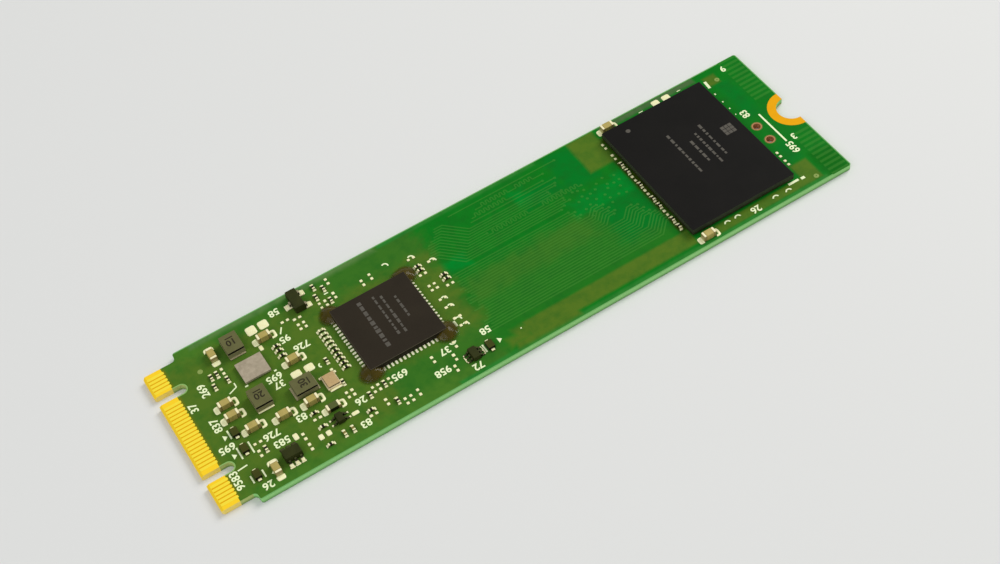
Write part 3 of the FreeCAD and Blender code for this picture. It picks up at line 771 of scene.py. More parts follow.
padShape = {"length": 0.66, "half": 0.6, "wallHalf": 0.4, "rise": 0.52, "climb": 0.12, "rim": 0.11,
            "rimWidth": 0.34, "wallGap": 0.04, "sink": 0.03, "foot": -0.1,
            "outward": (0.0, 0.05, 0.12, 0.2, 0.26, 0.3, 0.36, 0.42, 0.5, 0.57, 0.62, 0.65, 0.66),
            "across": (0.0, 0.12, 0.2, 0.24, 0.3, 0.37, 0.44, 0.5, 0.55, 0.585, 0.6)}


def unitMeniscus(filled):  # solder on a large pad: a bright rim, a dip, then a climb to the part
    look = padShape
    crest = 0.5 if filled else 1.0  # a filled one has no dip
    across = [-y for y in look["across"][:0:-1]] + list(look["across"])
    grid = []
    for x in look["outward"]:
        line = []
        for y in across:
            fromWall = math.hypot(x, max(0, abs(y) - look["wallHalf"]))
            fromEdge = look["length"] * (1 - ((x / look["length"]) ** 4 + (y / look["half"]) ** 4) ** 0.25)
            bulge = max(0, math.sin(math.pi * min(crest, max(0, fromEdge) / look["rimWidth"]))) ** 0.6
            climb = (look["rise"] - look["wallGap"]) * max(0, 1 - fromWall / look["climb"]) ** 2
            height = max(look["rim"] * bulge, climb) - look["sink"]
            line.append((x / look["length"], y / look["half"] / 2, height / look["rise"]))
        grid.append(line)
    return sheetWithFoot("unitMeniscus", grid, look["foot"])


def sideOf(offset):  # the axis that an offset mostly follows, and its sign there
    axis = 0 if abs(offset.x) > abs(offset.y) else 1
    return axis, 1 if offset[axis] > 0 else -1


def turnOf(axis, sign):
    return 90.0 * axis + (0.0 if sign > 0 else 180.0)


def outwardSide(solid):  # the way a wedge runs out, away from where it is high
    return sideOf(-solid["lean"])


def wedgeSpot(solid, size):
    axis, sign = outwardSide(solid)
    foot = solid["middle"].copy()
    foot[axis] -= sign * solid["size"][axis] / 2
    foot.z = solid["low"].z
    return spotFor(foot, size, turnOf(axis, sign))


# Board: the CAD node with its finish, gold contacts and rings, copper fields and traces under the mask

contactLook = {"proud": 0.015, "roundness": 0.12}


def dressBoard():
    dressed = {"board": "boardMask", "mount_ground_rings": "goldRing", "jumper_eyelets": "eyeletCopper"}
    for node, finish in dressed.items():
        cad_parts[node].data.materials.clear()
        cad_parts[node].data.materials.append(finishes[finish])
    finger = unitBlock(contactLook["roundness"])
    for node, proud in (("top_edge_contacts", contactLook["proud"]), ("bottom_edge_contacts", 0.0)):
        spots = [spotOf(solid) for solid in solidsOf(node)]
        for spot in spots:
            spot["size"].z += proud
            spot["at"].z += proud / 2
        setShapes(node + "_plated", finger, spots, "goldFinger", [node])


fieldLook = {
    "height": 0.008, "sink": 0.01, "roundness": 0.004,
    "outlines": (
        ((55.4, 5.5), (59.0, 5.5), (59.0, 10.3), (55.4, 10.3)),
        ((36.3, -7.8), (58.4, -7.8), (59.4, -7.0), (59.4, -10.0), (43.5, -10.0), (43.2, -10.6), (34.4, -10.6),
         (34.4, -9.6)),
        ((74.2, -7.2), (76.4, -7.2), (76.4, -10.4), (62.0, -10.4), (62.0, -9.2), (74.2, -9.2)),
        ((74.4, 8.4), (76.0, 8.4), (76.0, 9.9), (74.4, 9.9)),
    ),
    "combPitch": 0.72, "combWidth": 0.36, "combStart": 77.4, "combEnd": 79.75, "combClear": 3.4,
}


def makeFlatFields(name, outlines, finish):
    look = fieldLook
    bm = bmesh.new()
    for outline in outlines:
        addFlat(bm, [place(*corner) for corner in outline], look["sink"], look["height"])
    addPiece(name, meshOf(bm, name), finish, (), look["roundness"])


def makeCopperFields():
    look = fieldLook
    makeFlatFields("copper_fields", look["outlines"], "maskOverCopper")
    teeth = []
    start, end = look["combStart"], look["combEnd"]
    count = int(halfWidth / look["combPitch"])
    for step in range(-count, count + 1):
        low = step * look["combPitch"] - look["combWidth"] / 2
        high = low + look["combWidth"]
        if abs(low + high) / 2 > look["combClear"]:
            teeth.append(((start, low), (end, low), (end, high), (start, high)))
    makeFlatFields("copper_combs", teeth, "maskOverComb")


traceLook = {
    "width": 0.17, "height": 0.03, "bend": 0.13, "seed": 11,
    "runPitch": 0.37, "runTop": 2.1, "runStart": 34.0, "runStagger": 1.2, "endStagger": 0.5,
    # runs in each bundle, where it turns, how far it climbs, how far it goes on
    "bundles": ((5, 49.4, 0.0, 0.6), (7, 51.6, 0.9, 0.7), (7, 54.6, 1.2, 0.6), (6, 56.1, 1.5, 0.5)),
    "fans": 12, "fanFoot": (34.6, 5.2), "fanDrop": 2.3, "fanStep": 0.25, "fanRise": 0.35,
    "fanEnd": 51.0, "fanEndStagger": (-2.0, 0.6), "fanStart": (0.8, 1.6), "fanTail": 0.4,
    "fanStops": (6,), "fanStopAt": 40.9,
    "uppers": ((7.4, 40.2, 51.6), (7.85, 40.6, 50.2), (8.75, 41.6, 50.8), (9.7, 38.5, 53.0)),
    # the row, where each of its waves starts and how often it swings
    "fanWaves": {5: ((41.6, 8), (48.4, 8))}, "upperWaves": {1: ((41.2, 7),), 2: ((42.6, 6), (47.2, 4))},
    "waveHeight": 0.5, "wavePitch": 0.62,
    "viaSize": 0.36, "viaHeight": 0.03, "looseVias": 26, "viaTries": 400, "viaClear": 0.55,
    "viaLow": (51.4, -0.2), "viaHigh": (57.6, 4.4),
    "plugSize": 0.62, "plugs": ((5.6, 7.0), (75.8, 8.85), (75.75, -10.0)),
}


def runPaths(rng):  # parallel runs towards the memory, in bundles that turn together
    look = traceLook
    paths = []
    turnShift = look["runPitch"] * (math.sqrt(2) - 1)
    for count, turnAt, climb, tail in look["bundles"]:
        for step in range(count):
            y = look["runTop"] - len(paths) * look["runPitch"]
            corner = turnAt + turnShift * step
            path = [(look["runStart"] + rng.uniform(0, look["runStagger"]), y), (corner, y)]
            end = corner + climb + tail + look["endStagger"] * (step % 2)
            path += [(corner + climb, y + climb), (end, y + climb)] if climb else [(end, y)]
            paths.append(path)
    return paths


def wavesAlong(rows, row, y):  # tuned runs: square waves of equal height
    pitch = traceLook["wavePitch"]
    top = y + traceLook["waveHeight"]
    points = []
    for x, count in rows.get(row, ()):
        for step in range(count):
            left = x + step * pitch
            middle = left + pitch / 2
            points += [(left, y), (left, top), (middle, top), (middle, y)]
    return points


def fanPaths(rng):  # runs that come down aslant from the far edge and turn along the board
    look = traceLook
    paths = []
    for row in range(look["fans"]):
        x = look["fanFoot"][0] + look["fanStep"] * row
        y = look["fanFoot"][1] + look["fanRise"] * row
        low = y - look["fanDrop"]
        stops = row in look["fanStops"]
        end = look["fanStopAt"] if stops else look["fanEnd"] + rng.uniform(*look["fanEndStagger"])
        path = [(x - rng.uniform(*look["fanStart"]), y), (x, y), (x + look["fanDrop"], low)]
        path += wavesAlong(look["fanWaves"], row, low)
        paths.append(path + [(max(end, path[-1][0] + look["fanTail"]), low)])
    for row, (y, start, end) in enumerate(look["uppers"]):
        paths.append([(start, y)] + wavesAlong(look["upperWaves"], row, y) + [(end, y)])
    return paths


def looseVias(rng, taken):  # scattered covered holes, clear of each other and of the runs' ends
    look = traceLook
    found = []
    for _ in range(look["viaTries"]):
        hole = Vector([rng.uniform(low, high) for low, high in zip(look["viaLow"], look["viaHigh"])])
        isClear = all((hole - other).length > look["viaClear"] for other in taken + found)
        if isClear and len(found) < look["looseVias"]:
            found.append(hole)
    return found


def makeTraces():
    look = traceLook
    rng = random.Random(look["seed"])
    paths = runPaths(rng) + fanPaths(rng)
    curve = bpy.data.curves.new("traceLines", "CURVE")
    curve.dimensions = "3D"
    for path in paths:
        spline = curve.splines.new("POLY")
        spline.points.add(len(path) - 1)
        for point, corner in zip(spline.points, path):
            point.co = (*(place(*corner) * mm), 1.0)
    values = {"Width": look["width"] * mm, "Height": look["height"] * mm, "Bend": look["bend"] * mm,
              "Finish": finishes["maskOverTrace"]}
    mesh = runTree(newObject("traceLines", curve), ribbons, values)
    addPiece("mask_traces", mesh, "maskOverTrace")
    ends = [Vector(path[-1]) for path in paths]
    for name, holes, side, finish in (
            ("mask_vias", ends + looseVias(rng, ends), look["viaSize"], "maskOverTrace"),
            ("mask_plugs", look["plugs"], look["plugSize"], "maskOverPlug")):
        spots = [spotFor(place(*hole), (side, side, look["viaHeight"])) for hole in holes]
        setShapes(name, unitVia(), spots, finish)


dressBoard()
makeCopperFields()
makeTraces()
print("board dressed")


# Printed legend: plain numbers, bars, arches and arrows

legendLook = {
    "height": 0.02, "step": 0.0003, "sink": 0.004, "size": 1.25, "bold": 0.022, "digits": "2356789",
    "archWidth": 0.17, "archFrom": 15, "archTo": 165, "archSteps": 8,
    "arrowLength": 0.465, "arrowHalf": 0.375,
    # place from the contact edge, place across, turn, digits
    "numbers": (
        (4.85, 4.5, 90, 3), (4.05, -0.3, 90, 3), (3.75, -3.5, 180, 3), (3.0, 3.1, 90, 2), (2.95, -7.6, 90, 4),
        (8.4, -4.7, 180, 3), (8.9, -6.1, 180, 3), (5.4, -9.9, 180, 2), (12.0, -4.6, 180, 2),
        (11.9, 1.6, 180, 3), (12.0, 0.5, 180, 2), (15.2, 5.5, 180, 2), (16.3, 3.6, 180, 3),
        (15.8, 9.4, 180, 2), (18.2, -6.4, 180, 2), (17.3, -9.2, 180, 2), (23.2, -5.95, 180, 3),
        (28.75, -6.1, 180, 2), (27.2, -8.3, 180, 3), (30.7, -9.85, 180, 2), (33.7, -6.3, 180, 2),
        (67.3, -9.9, 180, 2), (75.1, 2.4, 90, 2), (76.4, -5.0, 90, 3), (77.45, -3.7, 180, 1),
        (77.4, 9.9, 180, 1)),
    # both ends of each bar and its width
    "bars": (
        (76.35, 1.4, 76.35, -3.85, 0.22), (72.4, -9.25, 73.8, -9.25, 0.3), (4.7, -1.5, 4.7, -2.7, 0.18),
        (4.6, -4.0, 4.6, -5.6, 0.18), (5.95, -4.0, 5.95, -5.6, 0.18), (4.3, -7.9, 4.3, -8.9, 0.18),
        (5.65, -7.9, 5.65, -8.9, 0.18), (32.4, -7.8, 32.4, -8.9, 0.2), (31.5, -3.3, 31.5, -4.1, 0.28),
        (8.0, 3.5, 8.0, 2.9, 0.14), (8.0, 2.9, 7.0, 2.5, 0.14), (15.6, 7.1, 15.1, 6.3, 0.16),
        (3.5, -6.6, 4.65, -6.5, 0.16), (8.8, 2.35, 9.15, 2.35, 0.2), (12.3, 2.35, 12.6, 2.35, 0.2),
        (21.6, 8.3, 22.1, 8.3, 0.16), (74.1, -9.35, 74.6, -9.35, 0.35), (74.4, 9.4, 74.3, 8.2, 0.34),
        (74.2, 7.15, 74.2, 6.9, 0.18), (74.2, 5.6, 74.2, 5.4, 0.16), (74.2, 4.25, 74.2, 4.05, 0.16),
        (74.2, 3.05, 74.2, 2.9, 0.14), (65.2, 9.95, 65.75, 9.95, 0.1), (70.8, 10.1, 71.3, 10.1, 0.1),
        (36.94, -8.36, 37.1, -8.36, 0.15)),
    # middle, turn and span of each arch
    "arches": (
        (29.1, 7.75, -36, 0.9), (32.05, 7.0, -36, 0.9), (33.9, 5.25, -36, 0.9), (32.25, -0.1, -36, 0.85),
        (32.3, -1.4, -36, 0.85), (32.1, -3.4, -36, 0.85), (32.4, -4.5, -36, 0.85), (30.0, -5.5, 180, 0.9),
        (16.9, 0.1, 90, 0.7), (63.6, -9.75, 0, 0.9), (65.0, -9.75, 0, 0.9), (70.15, -9.95, 0, 0.9),
        (71.9, -10.05, 0, 0.9)),
    # tip and turn of each arrow
    "arrows": ((4.45, -2.2, 0), (4.3, -4.8, 0), (6.3, -8.9, 180), (34.6, -8.3, 0)),
}


def turnedAt(point, degrees):
    return Matrix.Translation(point) @ Matrix.Rotation(math.radians(degrees), 4, "Z")


def barOutline(first, second, width):
    along = (second - first).normalized()
    across = Vector((-along.y, along.x, 0)) * width / 2
    return [first - across, second - across, second + across, first + across]


def archOutline(span):
    look = legendLook
    outer, inner = [], []
    for step in range(look["archSteps"] + 1):
        share = step / look["archSteps"]
        angle = math.radians(look["archFrom"] + (look["archTo"] - look["archFrom"]) * share)
        ray = Vector((math.cos(angle), math.sin(angle), 0))
        outer.append(ray * span / 2)
        inner.append(ray * (span / 2 - look["archWidth"]))
    return outer + inner[::-1]


def addText(bm, words, size, height, matrix):
    font = bpy.data.curves.new("numbers", "FONT")
    font.body = words
    font.size = size
    font.offset = legendLook["bold"] * size
    font.extrude = height / 2
    font.align_x = "CENTER"
    font.align_y = "CENTER"
    font.resolution_u = 3
    mesh = bakedMesh(newObject("numbers", font))
    mesh.transform(matrix)
    bm.from_mesh(mesh)
    bpy.data.meshes.remove(mesh)


def makeLegend():
    look = legendLook
    bm = bmesh.new()
    for index, (x, y, turn, count) in enumerate(look["numbers"]):
        picks = [(5 * index + 3 * digit) % len(look["digits"]) for digit in range(count)]
        words = "".join(look["digits"][pick] for pick in picks)
        addText(bm, words, look["size"], look["height"], turnedAt(place(x, y, look["height"] / 2), turn))
    for index, (x, y, endX, endY, width) in enumerate(look["bars"]):  # no two tops are level where bars meet
        outline = barOutline(place(x, y), place(endX, endY), width)
        addFlat(bm, outline, look["sink"], look["height"] + look["step"] * index)
    arrow = [Vector((-look["arrowLength"] * abs(side), look["arrowHalf"] * side, 0)) for side in (0, 1, -1)]
    flats = [(x, y, turn, archOutline(span)) for x, y, turn, span in look["arches"]]
    flats += [(x, y, turn, arrow) for x, y, turn in look["arrows"]]
    for x, y, turn, outline in flats:
        addFlat(bm, [turnedAt(place(x, y), turn) @ point for point in outline], look["sink"], look["height"])
    addPiece("board_legend", meshOf(bm, "board_legend"), "legendInk", smoothAngle=20)


makeLegend()
print("legend printed")


# Memory package: sawn mould on its carrier, with faint rows of plain bars

markLook = {"height": 0.006, "run": (0.28, 0.7), "swell": (0.75, 1.1), "gap": (0.14, 0.26)}
memoryLook = {
    "roundness": 0.05, "carrierRound": 0.02, "seed": 5,
    "rows": ((5.9, 4.2, 6.8, 0.32), (7.6, 1.9, 3.6, 0.32), (8.7, 2.6, 5.2, 0.32), (9.8, 3.4, 5.4, 0.32)),
    "dot": (2.7, 7.5, 0.3), "dotTaper": 0.9, "square": (12.2, 0.85, 0.44, 0.06)}


def markRows(node, rows, seed):  # rows of short bars across a package: place, start, length and width
    low, high = boxOf(node)
    rng = random.Random(seed)
    bm = bmesh.new()
    for x, top, length, width in rows:
        y = top
        while y > top - length:
            run = rng.uniform(*markLook["run"])
            size = (width * rng.uniform(*markLook["swell"]), run, markLook["height"])
            addBlock(bm, Vector((low.x + x, y - run / 2, high.z)), size)
            y -= run + rng.uniform(*markLook["gap"])
    return bm


def setBalls(node):
    spots = [spotOf(solid) for solid in solidsOf(node)]
    setShapes(node + "_round", unitBall(), spots, "brightTin", [node])


def makeMemory():
    look = memoryLook
    softened("memory_mould", "memoryMould", look["roundness"])
    softened("memory_substrate", "carrierLaminate", look["carrierRound"])
    setBalls("memory_balls")
    low, high = boxOf("memory_mould")
    bm = markRows("memory_mould", look["rows"], look["seed"])
    x, y, radius = look["dot"]
    bmesh.ops.create_cone(bm, cap_ends=True, segments=20, radius1=radius, radius2=radius * look["dotTaper"],
                          depth=markLook["height"], matrix=Matrix.Translation((low.x + x, y, high.z)))
    x, y, side, gap = look["square"]
    for row in (-1, 0, 1):
        for column in (-1, 0, 1):
            shift = Vector((row, column, 0)) * (side + gap)
            addBlock(bm, Vector((low.x + x, y, high.z)) + shift, (side, side, markLook["height"]))
    addPiece("memory_marks", meshOf(bm, "memory_marks"), "laserMark")


makeMemory()
print("memory package made")


# Controller package: moulded body, soldered leads, amber glue at its corners

controllerLook = {
    "roundness": 0.1, "seed": 9,
    "rows": ((3.2, 4.4, 6.6, 0.55), (4.9, 4.2, 6.0, 0.3), (5.7, 3.8, 5.6, 0.3), (7.0, 2.9, 3.0, 0.3)),
    "leadSolder": (0.42, 0.24, 0.12), "leadLimit": 2.0, "leadUneven": 0.06, "footSide": 0.6,
    "footHeight": 0.05}
glueLook = {"reach": 2.05, "height": 0.8, "sink": 0.03, "inset": 0.12, "taper": 0.97, "swell": 1.1,
            "sides": 40, "rings": 12, "waves": 3, "seed": 3, "unevenness": 0.1, "overlap": 0.02,
            "cutBelow": 0.4}


def makeControllerLeads():
    look = controllerLook
    low, high = boxOf("controller_body")
    spots = []
    bm = bmesh.new()
    for solid in solidsOf("controller_lead_frame"):
        if solid["size"].x >= look["leadLimit"]:  # the large pad under the body
            addBlock(bm, solid["middle"], solid["size"])
            continue
        axis, sign = sideOf(solid["middle"] - (low + high) / 2)
        foot = solid["middle"].copy()
        foot[axis] = high[axis] if sign > 0 else low[axis]
        foot.z = solid["low"].z
        spots.append(spotFor(foot, look["leadSolder"], turnOf(axis, sign)))
        inner = solid["middle"].copy()  # the flat foot under the body
        inner.z = solid["low"].z + look["footHeight"] / 2
        sides = [min(side, look["footSide"]) for side in solid["size"].xy]
        addBlock(bm, inner, (*sides, look["footHeight"]))
    setShapes("controller_leads_soldered", unitFillet(), spots, "leadTin", ["controller_lead_frame"],
              look["leadUneven"], meshOf(bm, "controllerFeet"))


def glueRings(cornerX, cornerY, phases):
    look = glueLook
    rings = []
    for ring in range(look["rings"]):
        share = ring / (look["rings"] - 1)
        height = look["height"] * (0.5 - 0.5 * math.cos(math.pi * share)) ** look["swell"] - look["sink"]
        points = []
        for side in range(look["sides"]):
            angle = 2 * math.pi * side / look["sides"]
            uneven = sum(math.sin(wave * angle + phase) / wave for wave, phase in enumerate(phases, 2))
            reach = look["reach"] * (1 + look["unevenness"] * uneven) * (1 - share * look["taper"])
            x = cornerX + reach * math.cos(angle)
            y = cornerY + reach * math.sin(angle)
            points.append((x, y, boardTop + height))
        rings.append(points)
    return rings


def cutByBody(mesh, low, high):  # the drops stop at the package's walls
    look = glueLook
    bm = bmesh.new()
    size = high - low + Vector((-look["overlap"], -look["overlap"], look["cutBelow"]))
    addBlock(bm, (low + high) / 2 - Vector((0, 0, look["cutBelow"] / 2)), size)
    cutter = newObject("bodyCutter", meshOf(bm, "bodyCutter"))
    source = newObject("glueDrops", mesh)
    cut = source.modifiers.new("cut", "BOOLEAN")
    cut.operation = "DIFFERENCE"
    cut.object = cutter
    cut.solver = "EXACT"
    result = bakedMesh(source)
    bpy.data.objects.remove(cutter)
    return cleaned(result)


def makeGlue():
    look = glueLook
    low, high = boxOf("controller_body")
    rng = random.Random(look["seed"])
    bm = bmesh.new()
    for cornerX in (low.x + look["inset"], high.x - look["inset"]):
        for cornerY in (low.y + look["inset"], high.y - look["inset"]):
            phases = [rng.uniform(0, 6.28) for _ in range(look["waves"])]
            ringedSurface(bm, glueRings(cornerX, cornerY, phases))
    mesh = cutByBody(meshOf(bm, "corner_glue"), low, high)
    addPiece("corner_glue", mesh, "amberGlue", ["controller_corner_bonds"], smoothAngle=60)


def makeController():
    look = controllerLook
    softened("controller_body", "controllerMould", look["roundness"], 3)
    bm = markRows("controller_body", look["rows"], look["seed"])
    addPiece("controller_marks", meshOf(bm, "controller_marks"), "laserMark")
    makeControllerLeads()
    makeGlue()


makeController()
print("controller made")


# Power chip, inductors and crystal

coreLook = {"roundness": 0.04, "flange": 0.14, "gap": 0.26, "gapDepth": 0.35, "gapOverlap": 0.1,
            "ledgeRim": 0.015, "ledgeHeight": 0.03, "gapRound": 0.01, "feetRound": 0.03, "litFeet": 2,
            "markSize": 1.15, "markHeight": 0.006, "markBarAt": (0, -0.62, 0), "markBar": (0.9, 0.14)}


def makeInductor(number):
    look = coreLook
    name = f"inductor_{number}"
    low, high = boxOf(name + "_core")
    size = high - low
    middle = (low + high) / 2
    base = size.z - look["flange"] - look["gap"]

    def addLayer(bm, z, inset, height):
        addBlock(bm, Vector((middle.x, middle.y, z)), (size.x - 2 * inset, size.y - 2 * inset, height))

    bm = bmesh.new()
    addLayer(bm, high.z - look["flange"] / 2, 0.0, look["flange"])
    addLayer(bm, low.z + base / 2, 0.0, base)
    addPiece(name + "_core_flanges", meshOf(bm, name), "pressedPowder", [name + "_core"], look["roundness"])
    # painted shade: the winding in the gap and a thin dark sheet over the lower flange's ledge, which lies in
    # the top flange's shade
    bm = bmesh.new()
    addLayer(bm, low.z + base + look["gap"] / 2, look["gapDepth"], look["gap"] + look["gapOverlap"])
    addLayer(bm, low.z + base, look["ledgeRim"], look["ledgeHeight"])
    addPiece(name + "_winding", meshOf(bm, name), "coreGapShade", (), look["gapRound"])
    # painted light and shade: inductor 2's feet take the bright tin and the others the darker dull tin, lit
    # and shaded copies of the same metal
    softened(name + "_feet", "brightTin" if number == look["litFeet"] else "dullTin", look["feetRound"])
    matrix = turnedAt((middle.x, middle.y, high.z), 180 if size.y > size.x else 90)
    bm = bmesh.new()
    addText(bm, str(10 * number), look["markSize"], look["markHeight"], matrix)
    bar = addBlock(bm, Vector(look["markBarAt"]), (*look["markBar"], look["markHeight"]))
    bmesh.ops.transform(bm, matrix=matrix, verts=bar)
    addPiece(name + "_mark", meshOf(bm, name), "coreInk")


powerLook = {"dieRound": 0.015, "inductors": (1, 2, 3)}
crystalLook = {"rimRound": 0.05, "lidRound": 0.07, "solderHeight": 0.12,
               # place, length and width of each drop at its feet
               "solder": (((16.95, -3.56), (1.7, 0.34)), ((15.9, -1.5), (0.4, 0.34)),
                          ((17.65, -1.55), (0.36, 0.4)))}


def makePowerParts():
    softened("power_chip_die", "groundSilicon", powerLook["dieRound"])
    setBalls("power_chip_balls")
    for number in powerLook["inductors"]:
        makeInductor(number)
    softened("crystal_base", "crystalRim", crystalLook["rimRound"])
    softened("crystal_lid", "platedLid", crystalLook["lidRound"], 3)


makePowerParts()
print("power parts made")


# Chip parts, their solder and the bare pads

chipLook = {
    "capacitors": 11, "bodyRound": 0.05, "endRound": 0.1, "smallRound": 0.14,
    "bodyUneven": 0.02, "endUneven": 0.04, "flowUneven": 0.06, "dropUneven": 0.08,
    "tones": {"glazed": "darkGlaze", "pale": "paleGlaze", "sage": "sageGlaze"},
    "paleSpots": ((14.8, -8.9), (15.8, -9.1)), "paleReach": 0.5, "sageArea": ((18.5, 1.2), (19.3, 4.4)),
    "endGrowth": 1.08, "rowGrowth": 1.22, "rowFrom": 57.0,
    # length, width and height of the solder
    "flow": (0.66, 1.2, 0.52), "filledFlow": (0.6, 1.0, 0.52), "smallFlow": (0.24, 0.42, 0.17),
    "largeFrom": 0.3}


def chipTone(middle):  # a few of the smallest chips are paler
    look = chipLook
    low, high = look["sageArea"]
    if isInside(middle, place(*low), place(*high)):
        return "sage"
    away = min((middle - place(*spot)).xy.length for spot in look["paleSpots"])
    return "pale" if away < look["paleReach"] else "glazed"


def makeChips():
    look = chipLook
    for name in [f"capacitor_{number + 1}" for number in range(look["capacitors"])] + ["bead"]:
        softened(name + "_body", "beadGlaze" if name == "bead" else "firedCeramic", look["bodyRound"])
        softened(name + "_ends", "capTin", look["endRound"], 3)
    cube = unitBlock(look["smallRound"])
    bodies = solidsOf("small_chip_bodies")
    for tone, finish in look["tones"].items():
        spots = [spotOf(solid) for solid in bodies if chipTone(solid["middle"]) == tone]
        replaced = ["small_chip_bodies"] if tone == "glazed" else ()
        setShapes("small_chip_bodies_" + tone, cube, spots, finish, replaced, look["bodyUneven"])
    rowFrom = place(look["rowFrom"], 0).x
    ends = [spotOf(solid, look["rowGrowth"] if solid["middle"].x > rowFrom else look["endGrowth"])
            for solid in solidsOf("small_chip_ends")]
    setShapes("small_chip_ends_tinned", cube, ends, "brightTin", ["small_chip_ends"], look["endUneven"])


def makeFlows():  # the solder at the larger parts: open on the far sides, filled on the near ones
    look = chipLook
    far, near, small = [], [], []
    for solid in solidsOf("solder_fillets"):
        if solid["size"].z <= look["largeFrom"]:
            small.append(wedgeSpot(solid, look["smallFlow"]))
        elif outwardSide(solid)[1] > 0:
            far.append(wedgeSpot(solid, look["flow"]))
        else:
            near.append(wedgeSpot(solid, look["filledFlow"]))
    setShapes("solder_flow", unitMeniscus(False), far, "flowTin", ["solder_fillets"], look["flowUneven"])
    setShapes("solder_flow_filled", unitMeniscus(True), near, "flowTin", (), look["flowUneven"])
    setShapes("solder_flow_small", unitFillet(), small, "brightTin", (), look["dropUneven"])


padLook = {"height": 0.07, "spread": 1.12, "uneven": 0.08, "shade": 1.2, "tightSpread": 0.56,
           "tightReach": 1.0, "tightChips": ("gate_chip_body", "monitor_chip_body")}


def isShaded(point):  # behind the regulator the solder stays dark
    low, high = boxOf("regulator_body")
    return isInside(point, Vector((low.x, high.y)), Vector((high.x, high.y + padLook["shade"])))


def isTight(point):  # the lands of the two smallest leaded chips lie close together
    reach = Vector((padLook["tightReach"], 0.0, 0.0))
    boxes = [boxOf(name) for name in padLook["tightChips"]]
    return any(isInside(point, low - reach, high + reach) for low, high in boxes)


def setSolder(name, spots, replaced=()):
    bright = [spot for spot in spots if not isShaded(spot["at"])]
    shaded = [spot for spot in spots if isShaded(spot["at"])]
    setShapes(name, unitPad(), bright, "brightTin", replaced, padLook["uneven"])
    setShapes(name + "_shaded", unitPad(), shaded, "shadedTin", (), padLook["uneven"])


def makePads():
    look = padLook
    spots = []
    for solid in solidsOf("tinned_pads"):
        spot = spotOf(solid, look["tightSpread"] if isTight(solid["middle"]) else look["spread"])
        spot["at"].z = boardTop
        spot["size"].z = look["height"]
        spots.append(spot)
    setSolder("tinned_pads_crowned", spots, ["tinned_pads"])


leadLook = {
    # length outward, width and height of the solder at each part's feet
    "solder": {"transistor": (0.85, 0.8, 0.16), "regulator": (0.5, 0.46, 0.13),
               "gate_chip": (0.36, 0.24, 0.1), "monitor_chip": (0.34, 0.18, 0.1)},
    "footCover": 0.14, "leastFoot": 0.05, "bodyRound": 0.05, "draft": 0.05, "leadRound": 0.03,
    "diodeRound": 0.05}


def leadSpots(name):  # a drop of solder over each lead's foot
    look = leadLook
    size = look["solder"][name]
    low, high = boxOf(name + "_body")
    spots = []
    for lead in solidsOf(name + "_leads"):
        for axis in (0, 1):
            for sign, end, wall in ((-1, lead["low"][axis], low[axis]), (1, lead["high"][axis], high[axis])):
                if sign * (end - wall) < look["leastFoot"]:
                    continue
                at = Vector((lead["middle"].x, lead["middle"].y, boardTop))
                at[axis] = end - sign * (size[0] / 2 - look["footCover"])
                spots.append(spotFor(at, size, 90.0 * axis))
    return spots


def makeLeadedParts():
    look = leadLook
    drops = []
    for name in look["solder"]:
        softened(name + "_body", "smallMould", look["bodyRound"], draft=look["draft"])
        softened(name + "_leads", "dullTin" if name == "transistor" else "shadedTin", look["leadRound"])
        drops += leadSpots(name)
    drops += [spotFor(place(*at), (*size, crystalLook["solderHeight"])) for at, size in crystalLook["solder"]]
    setSolder("lead_solder", drops)
    softened("diode_bodies", "diodeMould", look["diodeRound"])
    softened("diode_feet", "brightTin", look["diodeRound"])


makeChips()
makeFlows()
makePads()
makeLeadedParts()
print("chip parts made")


# Floor, light and camera

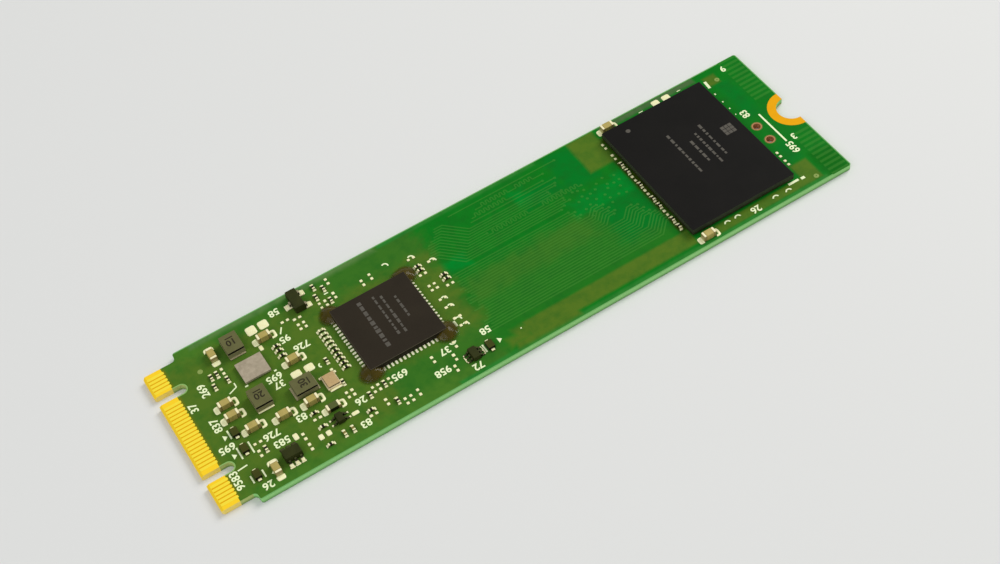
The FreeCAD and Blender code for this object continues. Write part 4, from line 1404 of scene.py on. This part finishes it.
stageLook = {
    "floor": (226, 226, 223), "floorSize": 4.0, "floorDull": 0.8, "floorGap": 2e-5,
    "world": (244, 246, 250), "worldStrength": 0.52,
    "lamps": {"key": {"at": (0.42, 0.12, 0.40), "size": 0.30, "power": 1.85, "colour": (1.0, 0.98, 0.94)},
              "fill": {"at": (-0.40, -0.22, 0.46), "size": 0.45, "power": 1.25, "colour": (0.96, 0.98, 1.0)}}}


def makeFloor():
    look = stageLook
    bm = bmesh.new()
    bmesh.ops.create_grid(bm, x_segments=1, y_segments=1, size=look["floorSize"] / 2)
    mesh = bpy.data.meshes.new("floor")
    bm.to_mesh(mesh)
    bm.free()
    mesh.transform(Matrix.Translation((0, 0, cadBox[0].z - look["floorGap"])))
    material, tree, shader = newFinish("paleFloor")
    feed(tree, shader, {"Base Color": paint(*look["floor"]), "Roughness": look["floorDull"]})
    mesh.materials.append(material)
    floor = newObject("floor", mesh)


def makeLight():
    world = bpy.data.worlds.new("studio")
    world.use_nodes = True
    sky = world.node_tree.nodes["Background"]
    feed(world.node_tree, sky, {"Color": paint(*stageLook["world"]), "Strength": stageLook["worldStrength"]})
    scene.world = world
    for name, look in stageLook["lamps"].items():
        lamp = bpy.data.lights.new(name, "AREA")
        lamp.size = look["size"]
        lamp.energy = look["power"]
        lamp.color = look["colour"]
        holder = newObject(name, lamp)
        holder.location = look["at"]
        holder.rotation_euler = (-Vector(look["at"])).to_track_quat("-Z", "Y").to_euler()


cameraLook = {"focal": 57.90, "sensor": 36.0, "clip": (0.005, 10.0), "at": (-47.592, -99.659, 141.291),
              "right": (0.84536, -0.52657, -0.08996), "down": (-0.46683, -0.64633, -0.60360),
              "forward": (0.25969, 0.55226, -0.79220)}


def makeCamera():
    look = cameraLook
    lens = bpy.data.cameras.new("camera")
    lens.sensor_width = look["sensor"]
    lens.lens = look["focal"]
    lens.clip_start, lens.clip_end = look["clip"]
    camera = newObject("camera", lens)
    axes = Matrix((look["right"], [-v for v in look["down"]], [-v for v in look["forward"]])).transposed()
    camera.matrix_world = Matrix.Translation(Vector(look["at"]) * mm) @ axes.to_4x4()
    scene.camera = camera


makeFloor()
makeLight()
makeCamera()
scene.view_settings.view_transform = "Standard"
print("stage, light and camera set")
